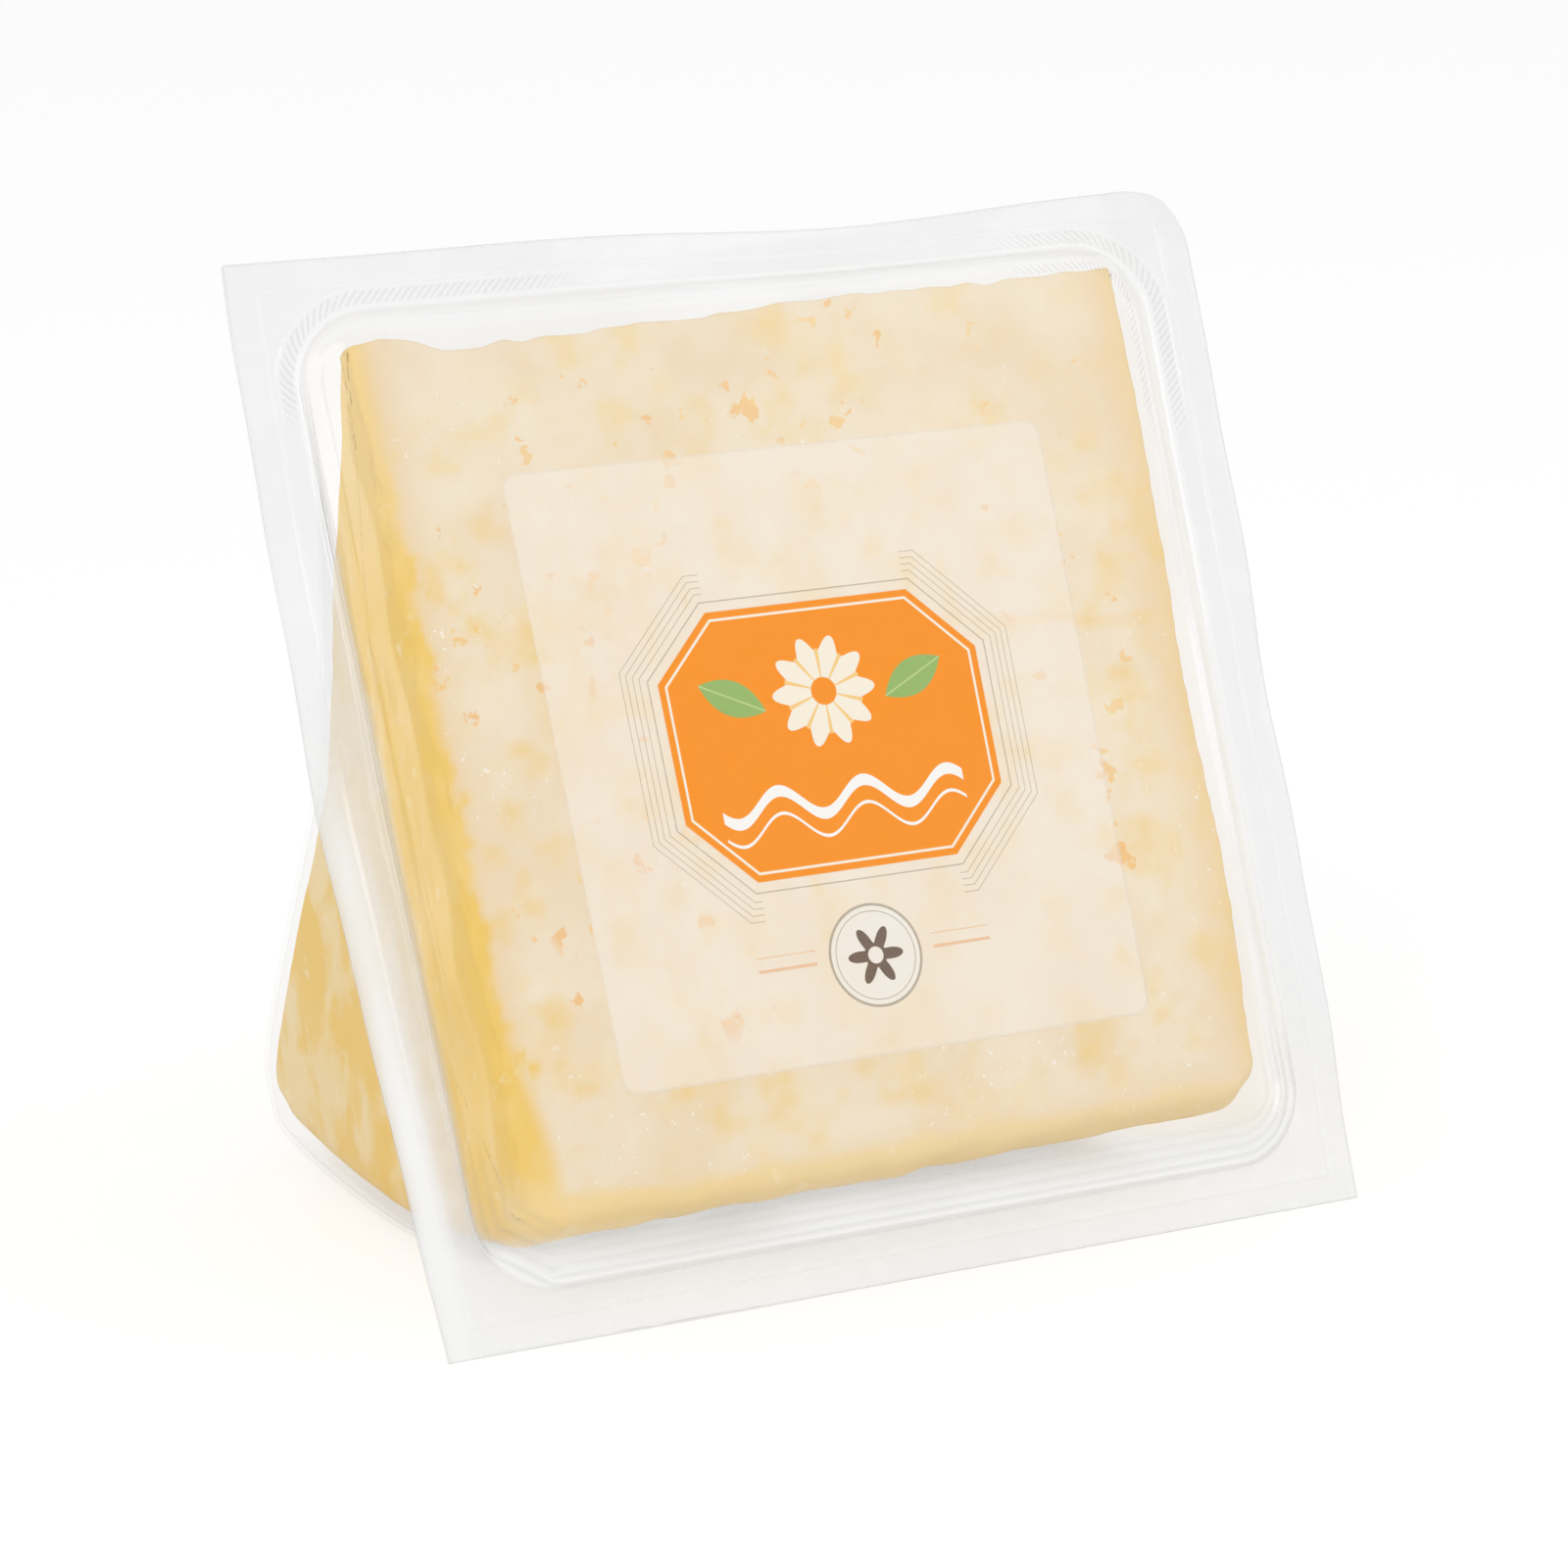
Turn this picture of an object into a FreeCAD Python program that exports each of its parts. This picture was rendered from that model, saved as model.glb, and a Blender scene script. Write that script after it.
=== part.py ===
import FreeCAD, Part
import math
import os
import Sketcher

# A wedge of cured sheep milk cheese in a clear formed film pack.
# The wedge is one sector of a wheel.  It sits in a pocket of thin film, and
# a flat lid film with a paper-thin label closes the pocket in front.
# The pack stands like an easel: the lower edge of its flange and the film
# under the curved rind both touch the table.
#
# Every piece is drawn in the frame of the lid: X to the right, Z up along
# the lid and Y into the pocket.  One placement then leans it all back.

doc = FreeCAD.newDocument("cheese_pack")
sheet = doc.addObject("Spreadsheet::Sheet", "Sizes")

# ---------------------------------------------------------------- sizes, mm
DRIVING_SIZES = [
    ("wheel_radius", 93.5, "half of a wheel about 19 cm across"),
    ("wheel_height", 89.8, "flat face to flat face of the wheel"),
    ("wedge_angle", 39.5, "one slice out of about nine, degrees"),
    ("rind_shoulder", 4.5, "rounding where the side meets a flat face"),
    ("cut_edge_bevel", 0.4, "bevel where the knife's cut edges are worn"),
    ("wedge_shift", 0.2, "the wedge sits this far right of the middle"),
    ("chip_width", 13.0, "width of the crumbled dip in the thin edge"),
    ("chip_depth", 2.4, "depth of that dip"),
    ("chip_place", -31.0, "middle of the dip, from the wedge's middle"),
    ("pack_width", 111.2, "flange, side to side"),
    ("pack_height", 114.3, "flange, bottom to top along the lid"),
    ("lean_angle", 24.5, "the lid leans back this far, degrees"),
    ("face_proud", 1.7, "cut face stands in front of the flange"),
    ("film_gap", 0.35, "air between cheese and pocket film"),
    ("rind_slack", 1.5, "more air under the curved rind, where film hangs loose"),
    ("film_wall", 0.35, "pocket film"),
    ("lid_gap", 0.15, "air between the cut face and the lid"),
    ("lid_wall", 0.2, "lid film"),
    ("label_wall", 0.1, "printed label"),
    ("label_width", 63.7, "label, side to side"),
    ("label_height", 65.8, "label, bottom to top"),
    ("label_middle", 56.2, "label's middle above the flange's lower edge"),
    ("label_shift", 0.9, "label's middle to the right of the pack's"),
    ("label_round", 1.5, "label corners"),
    ("seal_inset", 3.1, "seal line, in from the cut edge"),
    ("seal_width", 0.6, "seal line"),
    ("seal_height", 0.12, "seal line, above the lid"),
    ("rim_inset", 5.6, "mouth of the pocket, in from the cut edge"),
    ("rim_round", 8.5, "mouth of the pocket, corner rounding"),
    ("step_depth", 1.2, "first step of the pocket"),
    ("step_ledge", 1.1, "width of the ledge on that step"),
    ("flare_depth", 17.0, "the film meets the cheese at this depth"),
    ("back_round", 1.2, "film over the edges of the rear cut face"),
    ("rib_count", 27, "grip ribs along the lower margin"),
    ("rib_pitch", 1.15, "grip ribs, one to the next"),
    ("rib_width", 0.35, "one grip rib"),
    ("rib_length", 1.9, "one grip rib"),
    ("rib_height", 0.2, "one grip rib"),
    ("rib_clear", 0.3, "seal line to the grip ribs"),
]

# The last depth is where the rear edge of the wedge ends; the others are
# parts of it, closer together near the mouth, where the film flares.
DEPTH_PARTS = (0.0, 0.04, 0.09, 0.14, 0.20, 0.28, 0.38, 0.49, 0.60, 0.71, 0.81, 0.90, 1.0)

row_number = 0


def put_size(alias, content, note):
    """Write one named line of the sheet: name, value or formula, meaning."""
    global row_number
    row_number += 1
    sheet.set(f"A{row_number}", alias)
    sheet.set(f"B{row_number}", str(content))
    sheet.setAlias(f"B{row_number}", alias)
    sheet.set(f"C{row_number}", note)


for size_name, size_value, size_note in DRIVING_SIZES:
    put_size(size_name, size_value, size_note)

put_size("lean_sine", "=sin(lean_angle)", "sine of the lean")
put_size("lean_cosine", "=cos(lean_angle)", "cosine of the lean")
put_size("hang_radius", "=wheel_radius + rind_slack", "radius of the film's hang")
put_size("shell_offset", "=film_gap + film_wall", "cheese to outside of film")
put_size(
    "apex_height",
    "=(hang_radius + shell_offset - (face_proud + film_wall) * lean_sine)"
    " / lean_cosine",
    "thin edge above the flange's lower edge; flange and film both stand",
)
put_size("rim_half", "=pack_width / 2 - rim_inset", "half the pocket mouth")
put_size("rim_low", "=rim_inset", "pocket mouth, lower side")
put_size("rim_high", "=pack_height - rim_inset", "pocket mouth, upper side")
put_size("wedge_depth", "=hang_radius * sin(wedge_angle)", "front to rear edge")
put_size(
    "pocket_end",
    "=wedge_depth - face_proud - 0.1",
    "depth of the pocket's inside at the rear edge",
)
put_size(
    "stand_back",
    "=((apex_height - hang_radius * cos(wedge_angle)) * lean_sine"
    " + (pocket_end + film_wall) * lean_cosine) / 2",
    "half the depth of the standing pack",
)
put_size("stand_up", "=film_wall * lean_sine", "lowest film corner on the table")


def put_section_sizes(side, number, part, offset, wall):
    """Write the size of one slice of the pocket, at one depth, as formulas.

    `offset` is the distance from cheese to this surface and `wall` the film
    taken off the mouth on this side of it.  A slice runs from the rind arc
    below to the rear cut face above; the flare opens it towards the mouth.
    """
    tag = f"{side}_{number}"
    put_size(
        f"depth_{tag}",
        f"=step_depth - {wall} + (pocket_end - step_depth + film_wall) * {part}",
        "slice, behind the flange",
    )
    put_size(
        f"flare_{tag}",
        f"=max(0; 1 - (depth_{tag} - step_depth + {wall}) / flare_depth)^2",
        "how far the film still spans away from the cheese, 1 to 0",
    )
    put_size(
        f"low_wrap_{tag}",
        f"=apex_height - sqrt((hang_radius + {offset})^2"
        f" - (depth_{tag} + face_proud)^2)",
        "lower side where the film hangs under the rind",
    )
    put_size(
        f"high_wrap_{tag}",
        f"=apex_height - (depth_{tag} + face_proud) / tan(wedge_angle)"
        f" + ({offset}) / sin(wedge_angle)",
        "upper side where the film lies on the rear cut face",
    )
    put_size(
        f"low_{tag}",
        f"=low_wrap_{tag} - flare_{tag} * (low_wrap_{side}_0 - rim_low"
        f" - step_ledge - {wall})",
        "lower side of the slice",
    )
    put_size(
        f"high_{tag}",
        f"=high_wrap_{tag} + flare_{tag} * (rim_high - step_ledge - {wall}"
        f" - high_wrap_{side}_0)",
        "upper side of the slice",
    )
    put_size(
        f"half_{tag}",
        f"=wheel_height / 2 + {offset} + wedge_shift + flare_{tag} * (rim_half"
        f" - step_ledge - {wall} - wheel_height / 2 - ({offset}) - wedge_shift)",
        "half the width of the slice",
    )
    put_size(
        f"low_round_{tag}",
        f"=min(rind_shoulder + flare_{tag} * (rim_round - step_ledge"
        f" - rind_shoulder); 0.42 * (high_{tag} - low_{tag}))",
        "corner rounding over the rind shoulder",
    )
    put_size(
        f"high_round_{tag}",
        f"=min(back_round + flare_{tag} * (rim_round - step_ledge - back_round);"
        f" 0.42 * (high_{tag} - low_{tag}))",
        "corner rounding over the cut edge",
    )


for section_number, section_part in enumerate(DEPTH_PARTS):
    put_section_sizes("outer", section_number, section_part, "shell_offset", "0")
    put_section_sizes(
        "inner", section_number, section_part, "film_gap", "film_wall"
    )
doc.recompute()


def size(alias):
    """Return a size of the sheet as a plain number."""
    return float(getattr(sheet, alias))


# ----------------------------------------------------------------- helpers
def new_body(name):
    """Make a body, named like its file, in the leaning frame of the lid."""
    body = doc.addObject("PartDesign::Body", name)
    body.Label = name
    lean = FreeCAD.Rotation(FreeCAD.Vector(-1, 0, 0), size("lean_angle"))
    base = FreeCAD.Vector(0, -size("stand_back"), size("stand_up"))
    body.Placement = FreeCAD.Placement(base, lean)
    body.setExpression(".Placement.Rotation.Angle", "Sizes.lean_angle * 1 deg")
    body.setExpression(".Placement.Base.y", "-Sizes.stand_back * 1 mm")
    body.setExpression(".Placement.Base.z", "Sizes.stand_up * 1 mm")
    return body


def new_sketch(body, name, plane_role, offset_formula=None, offset_value=0.0):
    """Attach a sketch to an origin plane of its own body."""
    sketch = body.newObject("Sketcher::SketchObject", name)
    plane = [
        item for item in body.Origin.OriginFeatures if item.Role == plane_role
    ][0]
    sketch.AttachmentSupport = [(plane, "")]
    sketch.MapMode = "FlatFace"
    if offset_formula:
        sketch.AttachmentOffset = FreeCAD.Placement(
            FreeCAD.Vector(0, 0, offset_value), FreeCAD.Rotation()
        )
        sketch.setExpression(
            ".AttachmentOffset.Base.z", f"({offset_formula}) * 1 mm"
        )
    return sketch


def set_dimension(sketch, kind, targets, value, formula, name):
    """Add one named driving dimension and bind it to the sheet."""
    number = sketch.addConstraint(Sketcher.Constraint(kind, *targets, value))
    sketch.renameConstraint(number, name)
    sketch.setExpression(f"Constraints.{name}", formula)


def round_box(sketch, tag, middle, half, low, high, low_round, high_round):
    """Draw a rectangle with rounded corners, bound to six formulas.

    Each argument is a pair of a number and the formula that it comes from.
    The lower and the upper corners have their own rounding.
    """
    x_mid, x_half, z_low, z_high = middle[0], half[0], low[0], high[0]
    left, right = x_mid - x_half, x_mid + x_half
    r_low, r_high = low_round[0], high_round[0]
    vector, segment = FreeCAD.Vector, Part.LineSegment
    start = sketch.GeometryCount
    corners = (
        (right - r_low, z_low + r_low, r_low, 1.5),
        (right - r_high, z_high - r_high, r_high, 0.0),
        (left + r_high, z_high - r_high, r_high, 0.5),
        (left + r_low, z_low + r_low, r_low, 1.0),
    )
    lines = (
        (left + r_low, z_low, right - r_low, z_low),
        (right, z_low + r_low, right, z_high - r_high),
        (right - r_high, z_high, left + r_high, z_high),
        (left, z_high - r_high, left, z_low + r_low),
    )
    for line, corner in zip(lines, corners):
        sketch.addGeometry(
            segment(vector(line[0], line[1], 0), vector(line[2], line[3], 0))
        )
        circle = Part.Circle(
            vector(corner[0], corner[1], 0), vector(0, 0, 1), corner[2]
        )
        first = corner[3] * math.pi
        sketch.addGeometry(Part.ArcOfCircle(circle, first, first + math.pi / 2))
    joints = []
    for side in range(4):
        line_id = start + 2 * side
        arc_id = line_id + 1
        next_line = start + 2 * ((side + 1) % 4)
        joints.append(Sketcher.Constraint("Tangent", line_id, 2, arc_id, 1))
        joints.append(Sketcher.Constraint("Tangent", arc_id, 2, next_line, 1))
    joints.append(Sketcher.Constraint("Horizontal", start))
    joints.append(Sketcher.Constraint("Vertical", start + 2))
    joints.append(Sketcher.Constraint("Horizontal", start + 4))
    joints.append(Sketcher.Constraint("Vertical", start + 6))
    joints.append(Sketcher.Constraint("Equal", start + 1, start + 7))
    joints.append(Sketcher.Constraint("Equal", start + 3, start + 5))
    sketch.addConstraint(joints)
    set_dimension(
        sketch, "Radius", (start + 1,), r_low, low_round[1], f"low_round_{tag}"
    )
    set_dimension(
        sketch, "Radius", (start + 3,), r_high, high_round[1], f"high_round_{tag}"
    )
    edges = (
        ("DistanceX", start + 2, right, f"{middle[1]} + {half[1]}", "right"),
        ("DistanceX", start + 6, left, f"{middle[1]} - ({half[1]})", "left"),
        ("DistanceY", start, z_low, low[1], "low"),
        ("DistanceY", start + 4, z_high, high[1], "high"),
    )
    for kind, line_id, value, formula, word in edges:
        set_dimension(
            sketch, kind, (-1, 1, line_id, 1), value, formula, f"{word}_{tag}"
        )


def plate_outline(sketch, tag, inset_alias):
    """Draw the flange's rectangle, or the same one further in, square cut."""
    inset = size(inset_alias) if inset_alias else 0.0
    inset_text = f" - Sizes.{inset_alias}" if inset_alias else ""
    half = size("pack_width") / 2 - inset
    low, high = inset, size("pack_height") - inset
    return square_box(
        sketch,
        tag,
        (-half, f"-Sizes.pack_width / 2{inset_text.replace('-', '+')}"),
        (half, f"Sizes.pack_width / 2{inset_text}"),
        (low, f"Sizes.{inset_alias}" if inset_alias else "0"),
        (high, f"Sizes.pack_height{inset_text}"),
    )


def square_box(sketch, tag, left, right, low, high):
    """Draw a rectangle with sharp corners, bound to four formulas."""
    start = sketch.GeometryCount
    points = [
        FreeCAD.Vector(left[0], low[0], 0),
        FreeCAD.Vector(right[0], low[0], 0),
        FreeCAD.Vector(right[0], high[0], 0),
        FreeCAD.Vector(left[0], high[0], 0),
    ]
    for corner in range(4):
        sketch.addGeometry(
            Part.LineSegment(points[corner], points[(corner + 1) % 4])
        )
    rules = []
    for corner in range(4):
        kind = "Horizontal" if corner % 2 == 0 else "Vertical"
        following = start + (corner + 1) % 4
        rules.append(
            Sketcher.Constraint("Coincident", start + corner, 2, following, 1)
        )
        rules.append(Sketcher.Constraint(kind, start + corner))
    sketch.addConstraint(rules)
    set_dimension(
        sketch, "DistanceX", (-1, 1, start + 1, 1), right[0], right[1], f"right_{tag}"
    )
    set_dimension(
        sketch, "DistanceX", (-1, 1, start + 3, 1), left[0], left[1], f"left_{tag}"
    )
    set_dimension(
        sketch, "DistanceY", (-1, 1, start + 2, 1), high[0], high[1], f"high_{tag}"
    )
    if low[1] == "0":
        sketch.addConstraint(
            Sketcher.Constraint("PointOnObject", start, 1, -1)
        )
    else:
        set_dimension(
            sketch, "DistanceY", (-1, 1, start, 1), low[0], low[1], f"low_{tag}"
        )


def pad_sketch(body, name, sketch, length_formula, reverse=False):
    """Extrude a sketch; reversed goes into the pocket, else to the front."""
    pad = body.newObject("PartDesign::Pad", name)
    pad.Profile = sketch
    pad.Reversed = reverse
    pad.setExpression("Length", f"({length_formula}) * 1 mm")
    sketch.Visibility = False
    doc.recompute()
    return pad


def loft_sketches(body, name, sketches, additive, ruled):
    """Span a solid over a row of sketches, or cut that form away."""
    kind = "AdditiveLoft" if additive else "SubtractiveLoft"
    loft = body.newObject(f"PartDesign::{kind}", name)
    loft.Profile = sketches[0]
    loft.Sections = sketches[1:]
    loft.Ruled = ruled
    for sketch in sketches:
        sketch.Visibility = False
    doc.recompute()
    return loft


# ------------------------------------------------------- the cheese itself
# The wheel's half-section is turned about the wheel's axis by one slice.
cheese = new_body("cheese_wedge")
wheel_section = new_sketch(
    cheese, "wheel_half_section", "XZ_Plane", "Sizes.face_proud", size("face_proud")
)


def draw_wheel_section(sketch):
    """Draw half of the wheel's section, with the rind's round shoulders."""
    half, radius = size("wheel_height") / 2, size("wheel_radius")
    shoulder, top = size("rind_shoulder"), size("apex_height")
    middle = size("wedge_shift")
    left, right, low = middle - half, middle + half, top - radius
    vector = FreeCAD.Vector
    lines = (
        (left, top, right, top),
        (right, top, right, low + shoulder),
        (right - shoulder, low, left + shoulder, low),
        (left, low + shoulder, left, top),
    )
    for line in lines:
        sketch.addGeometry(
            Part.LineSegment(vector(line[0], line[1], 0), vector(line[2], line[3], 0))
        )
    for centre, first in ((right - shoulder, 1.5), (left + shoulder, 1.0)):
        circle = Part.Circle(
            vector(centre, low + shoulder, 0), vector(0, 0, 1), shoulder
        )
        sketch.addGeometry(
            Part.ArcOfCircle(circle, first * math.pi, (first + 0.5) * math.pi)
        )
    sketch.addConstraint(
        [
            Sketcher.Constraint("Coincident", 0, 2, 1, 1),
            Sketcher.Constraint("Tangent", 1, 2, 4, 2),
            Sketcher.Constraint("Tangent", 4, 1, 2, 1),
            Sketcher.Constraint("Tangent", 2, 2, 5, 2),
            Sketcher.Constraint("Tangent", 5, 1, 3, 1),
            Sketcher.Constraint("Coincident", 3, 2, 0, 1),
            Sketcher.Constraint("Horizontal", 0),
            Sketcher.Constraint("Vertical", 1),
            Sketcher.Constraint("Horizontal", 2),
            Sketcher.Constraint("Vertical", 3),
            Sketcher.Constraint("Equal", 4, 5),
        ]
    )
    set_dimension(sketch, "Radius", (4,), shoulder, "Sizes.rind_shoulder", "shoulder")
    set_dimension(
        sketch, "DistanceY", (-1, 1, 0, 1), top, "Sizes.apex_height", "wheel_axis"
    )
    set_dimension(
        sketch, "DistanceY", (2, 1, 0, 2), radius, "Sizes.wheel_radius", "radius"
    )
    set_dimension(
        sketch, "DistanceX", (0, 1, 0, 2), 2 * half, "Sizes.wheel_height", "height"
    )
    set_dimension(
        sketch,
        "DistanceX",
        (-1, 1, 0, 2),
        right,
        "Sizes.wheel_height / 2 + Sizes.wedge_shift",
        "side",
    )


draw_wheel_section(wheel_section)
axis_line = wheel_section.addGeometry(
    Part.LineSegment(
        FreeCAD.Vector(-20, size("apex_height"), 0),
        FreeCAD.Vector(20, size("apex_height"), 0),
    ),
    True,
)
wheel_section.addConstraint(
    [
        Sketcher.Constraint("PointOnObject", axis_line, 1, 0),
        Sketcher.Constraint("PointOnObject", axis_line, 2, 0),
    ]
)
doc.recompute()
slice_turn = cheese.newObject("PartDesign::Revolution", "slice_of_wheel")
slice_turn.Profile = wheel_section
slice_turn.ReferenceAxis = (wheel_section, ["Axis0"])
slice_turn.setExpression("Angle", "Sizes.wedge_angle * 1 deg")
wheel_section.Visibility = False
doc.recompute()
if slice_turn.Shape.BoundBox.YMax < size("wedge_depth") / 2:
    slice_turn.Reversed = True
    doc.recompute()


def knife_edges(shape):
    """List the edges round both cut faces, where the knife left them soft."""
    chosen = []
    angle = math.radians(size("wedge_angle"))
    apex = FreeCAD.Vector(0, -size("face_proud"), size("apex_height"))
    rear_normal = FreeCAD.Vector(0, math.cos(angle), math.sin(angle))
    for number, edge in enumerate(shape.Edges, 1):
        spots = [vertex.Point for vertex in edge.Vertexes] + [edge.CenterOfMass]
        reaches = [spot - apex for spot in spots]
        on_front = all(abs(reach.y) < 1e-4 for reach in reaches)
        on_rear = all(abs(reach.dot(rear_normal)) < 1e-4 for reach in reaches)
        if on_front or on_rear:
            chosen.append(f"Edge{number}")
    return chosen


soft_edges = cheese.newObject("PartDesign::Chamfer", "soft_cut_edges")
soft_edges.Base = (slice_turn, knife_edges(slice_turn.Shape))
soft_edges.setExpression("Size", "Sizes.cut_edge_bevel * 1 mm")
doc.recompute()

chip_sketch = new_sketch(
    cheese, "chip_outline", "XZ_Plane", "Sizes.face_proud", size("face_proud")
)


def draw_chip(sketch):
    """Draw the dip of the crumbled thin edge: an arc with a flat lid."""
    half, depth = size("chip_width") / 2, size("chip_depth")
    middle, top = size("wedge_shift") + size("chip_place"), size("apex_height")
    vector = FreeCAD.Vector
    arc = Part.Arc(
        vector(middle - half, top, 0),
        vector(middle, top - depth, 0),
        vector(middle + half, top, 0),
    )
    sketch.addGeometry(arc)
    sketch.addGeometry(
        Part.LineSegment(vector(middle + half, top, 0), vector(middle - half, top, 0))
    )
    sketch.addConstraint(
        [
            Sketcher.Constraint("Coincident", 0, 2, 1, 1),
            Sketcher.Constraint("Coincident", 0, 1, 1, 2),
            Sketcher.Constraint("Horizontal", 1),
        ]
    )
    chord_height = "(Sizes.chip_width^2 / (8 * Sizes.chip_depth) + Sizes.chip_depth / 2)"
    bend = half * half / (2 * depth) + depth / 2
    set_dimension(sketch, "Radius", (0,), bend, chord_height, "bend")
    set_dimension(
        sketch, "DistanceX", (1, 2, 1, 1), 2 * half, "Sizes.chip_width", "width"
    )
    set_dimension(
        sketch, "DistanceY", (-1, 1, 1, 1), top, "Sizes.apex_height", "thin_edge"
    )
    set_dimension(
        sketch,
        "DistanceX",
        (-1, 1, 1, 1),
        middle + half,
        "Sizes.wedge_shift + Sizes.chip_place + Sizes.chip_width / 2",
        "place",
    )


draw_chip(chip_sketch)
doc.recompute()
volume_before = soft_edges.Shape.Volume
chip = cheese.newObject("PartDesign::Pocket", "crumbled_dip")
chip.Profile = chip_sketch
chip.Type = "ThroughAll"
chip.Midplane = True
chip_sketch.Visibility = False
doc.recompute()
if chip.Shape.Volume > volume_before - 1.0:
    raise ValueError("the dip in the thin edge takes nothing away")

# -------------------------------------------- the formed pocket and flange
pocket = new_body("pocket_film")
pocket_outline = new_sketch(pocket, "flange_outline", "XZ_Plane")
plate_outline(pocket_outline, "flange", None)
doc.recompute()
pad_sketch(pocket, "pocket_flange", pocket_outline, "Sizes.film_wall", True)


def mouth_sketch(body, name, tag, depth_formula, depth_value, shrink):
    """Draw the mouth of the pocket at one depth, `shrink` mm further in."""
    sketch = new_sketch(
        body, name, "XZ_Plane", f"-({depth_formula})", -depth_value
    )
    inner = size("rim_round") - shrink[0]
    round_box(
        sketch,
        tag,
        (0.0, "0"),
        (size("rim_half") - shrink[0], f"(Sizes.rim_half - {shrink[1]})"),
        (size("rim_low") + shrink[0], f"Sizes.rim_low + {shrink[1]}"),
        (size("rim_high") - shrink[0], f"Sizes.rim_high - {shrink[1]}"),
        (inner, f"Sizes.rim_round - {shrink[1]}"),
        (inner, f"Sizes.rim_round - {shrink[1]}"),
    )
    return sketch


def pocket_section(side, number):
    """Draw one slice of the pocket from its line of the sheet."""
    tag = f"{side}_{number}"
    depth = size(f"depth_{tag}")
    sketch = new_sketch(
        pocket, f"slice_{tag}", "XZ_Plane", f"-Sizes.depth_{tag}", -depth
    )
    pairs = []
    for word in ("half", "low", "high", "low_round", "high_round"):
        alias = f"{word}_{tag}"
        pairs.append((size(alias), f"Sizes.{alias}"))
    round_box(sketch, tag, (0.0, "0"), *pairs)
    return sketch


NO_SHRINK = (0.0, "0")
WALL_SHRINK = (size("film_wall"), "Sizes.film_wall")
step_outer = [
    mouth_sketch(pocket, "step_mouth", "mouth", "0", 0.0, NO_SHRINK),
    mouth_sketch(
        pocket, "step_floor", "floor", "Sizes.step_depth", size("step_depth"), NO_SHRINK
    ),
]
doc.recompute()
loft_sketches(pocket, "rim_step", step_outer, True, True)
outer_sections = [pocket_section("outer", n) for n in range(len(DEPTH_PARTS))]
doc.recompute()
loft_sketches(pocket, "pocket_form", outer_sections, True, True)
step_inner = [
    mouth_sketch(pocket, "step_inside_mouth", "mouth", "0", 0.0, WALL_SHRINK),
    mouth_sketch(
        pocket,
        "step_inside_floor",
        "floor",
        "Sizes.step_depth - Sizes.film_wall",
        size("step_depth") - size("film_wall"),
        WALL_SHRINK,
    ),
]
doc.recompute()
loft_sketches(pocket, "rim_step_inside", step_inner, False, True)
inner_sections = [pocket_section("inner", n) for n in range(len(DEPTH_PARTS))]
doc.recompute()
loft_sketches(pocket, "pocket_inside", inner_sections, False, True)

# Grip ribs: short ridges formed in the lower margin, between seal and step.
rib_sketch = new_sketch(
    pocket, "rib_outline", "XZ_Plane", "-Sizes.film_wall", -size("film_wall")
)
rib_start = -(size("rib_count") - 1) / 2 * size("rib_pitch")
rib_low = size("seal_inset") + size("rib_clear")
square_box(
    rib_sketch,
    "rib",
    (
        rib_start - size("rib_width") / 2,
        "-(Sizes.rib_count - 1) / 2 * Sizes.rib_pitch - Sizes.rib_width / 2",
    ),
    (
        rib_start + size("rib_width") / 2,
        "-(Sizes.rib_count - 1) / 2 * Sizes.rib_pitch + Sizes.rib_width / 2",
    ),
    (rib_low, "Sizes.seal_inset + Sizes.rib_clear"),
    (
        rib_low + size("rib_length"),
        "Sizes.seal_inset + Sizes.rib_clear + Sizes.rib_length",
    ),
)
doc.recompute()
rib = pad_sketch(pocket, "first_rib", rib_sketch, "Sizes.rib_height", True)
rib_row = pocket.newObject("PartDesign::LinearPattern", "rib_row")
rib_row.Originals = [rib]
rib_row.Direction = (rib_sketch, ["H_Axis"])
rib_row.setExpression(
    "Length", "(Sizes.rib_count - 1) * Sizes.rib_pitch * 1 mm"
)
rib_row.Occurrences = int(size("rib_count"))
rib_row.setExpression("Occurrences", "Sizes.rib_count")
pocket.Tip = rib_row
doc.recompute()

# ------------------------------------------------------------ the lid film
lid = new_body("lid_film")
lid_outline = new_sketch(lid, "lid_outline", "XZ_Plane")
plate_outline(lid_outline, "lid", None)
doc.recompute()
pad_sketch(lid, "lid_sheet", lid_outline, "Sizes.lid_wall")


def face_sketch(name, depth_formula, depth_value, shrink):
    """Draw the raised panel that the cut face pushes out of the lid."""
    sketch = new_sketch(lid, name, "XZ_Plane", f"-({depth_formula})", -depth_value)
    half = size("wheel_height") / 2 + size("film_gap")
    low = size("apex_height") - size("wheel_radius") - size("film_gap")
    high = size("apex_height") + size("film_gap")
    amount, text = shrink
    round_box(
        sketch,
        "face",
        (size("wedge_shift"), "Sizes.wedge_shift"),
        (half - amount, f"(Sizes.wheel_height / 2 + Sizes.film_gap - {text})"),
        (low + amount, f"Sizes.apex_height - Sizes.wheel_radius - Sizes.film_gap + {text}"),
        (high - amount, f"Sizes.apex_height + Sizes.film_gap - {text}"),
        (size("rind_shoulder") - amount, f"Sizes.rind_shoulder - {text}"),
        (2 * size("back_round") - amount, f"2 * Sizes.back_round - {text}"),
    )
    return sketch


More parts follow.
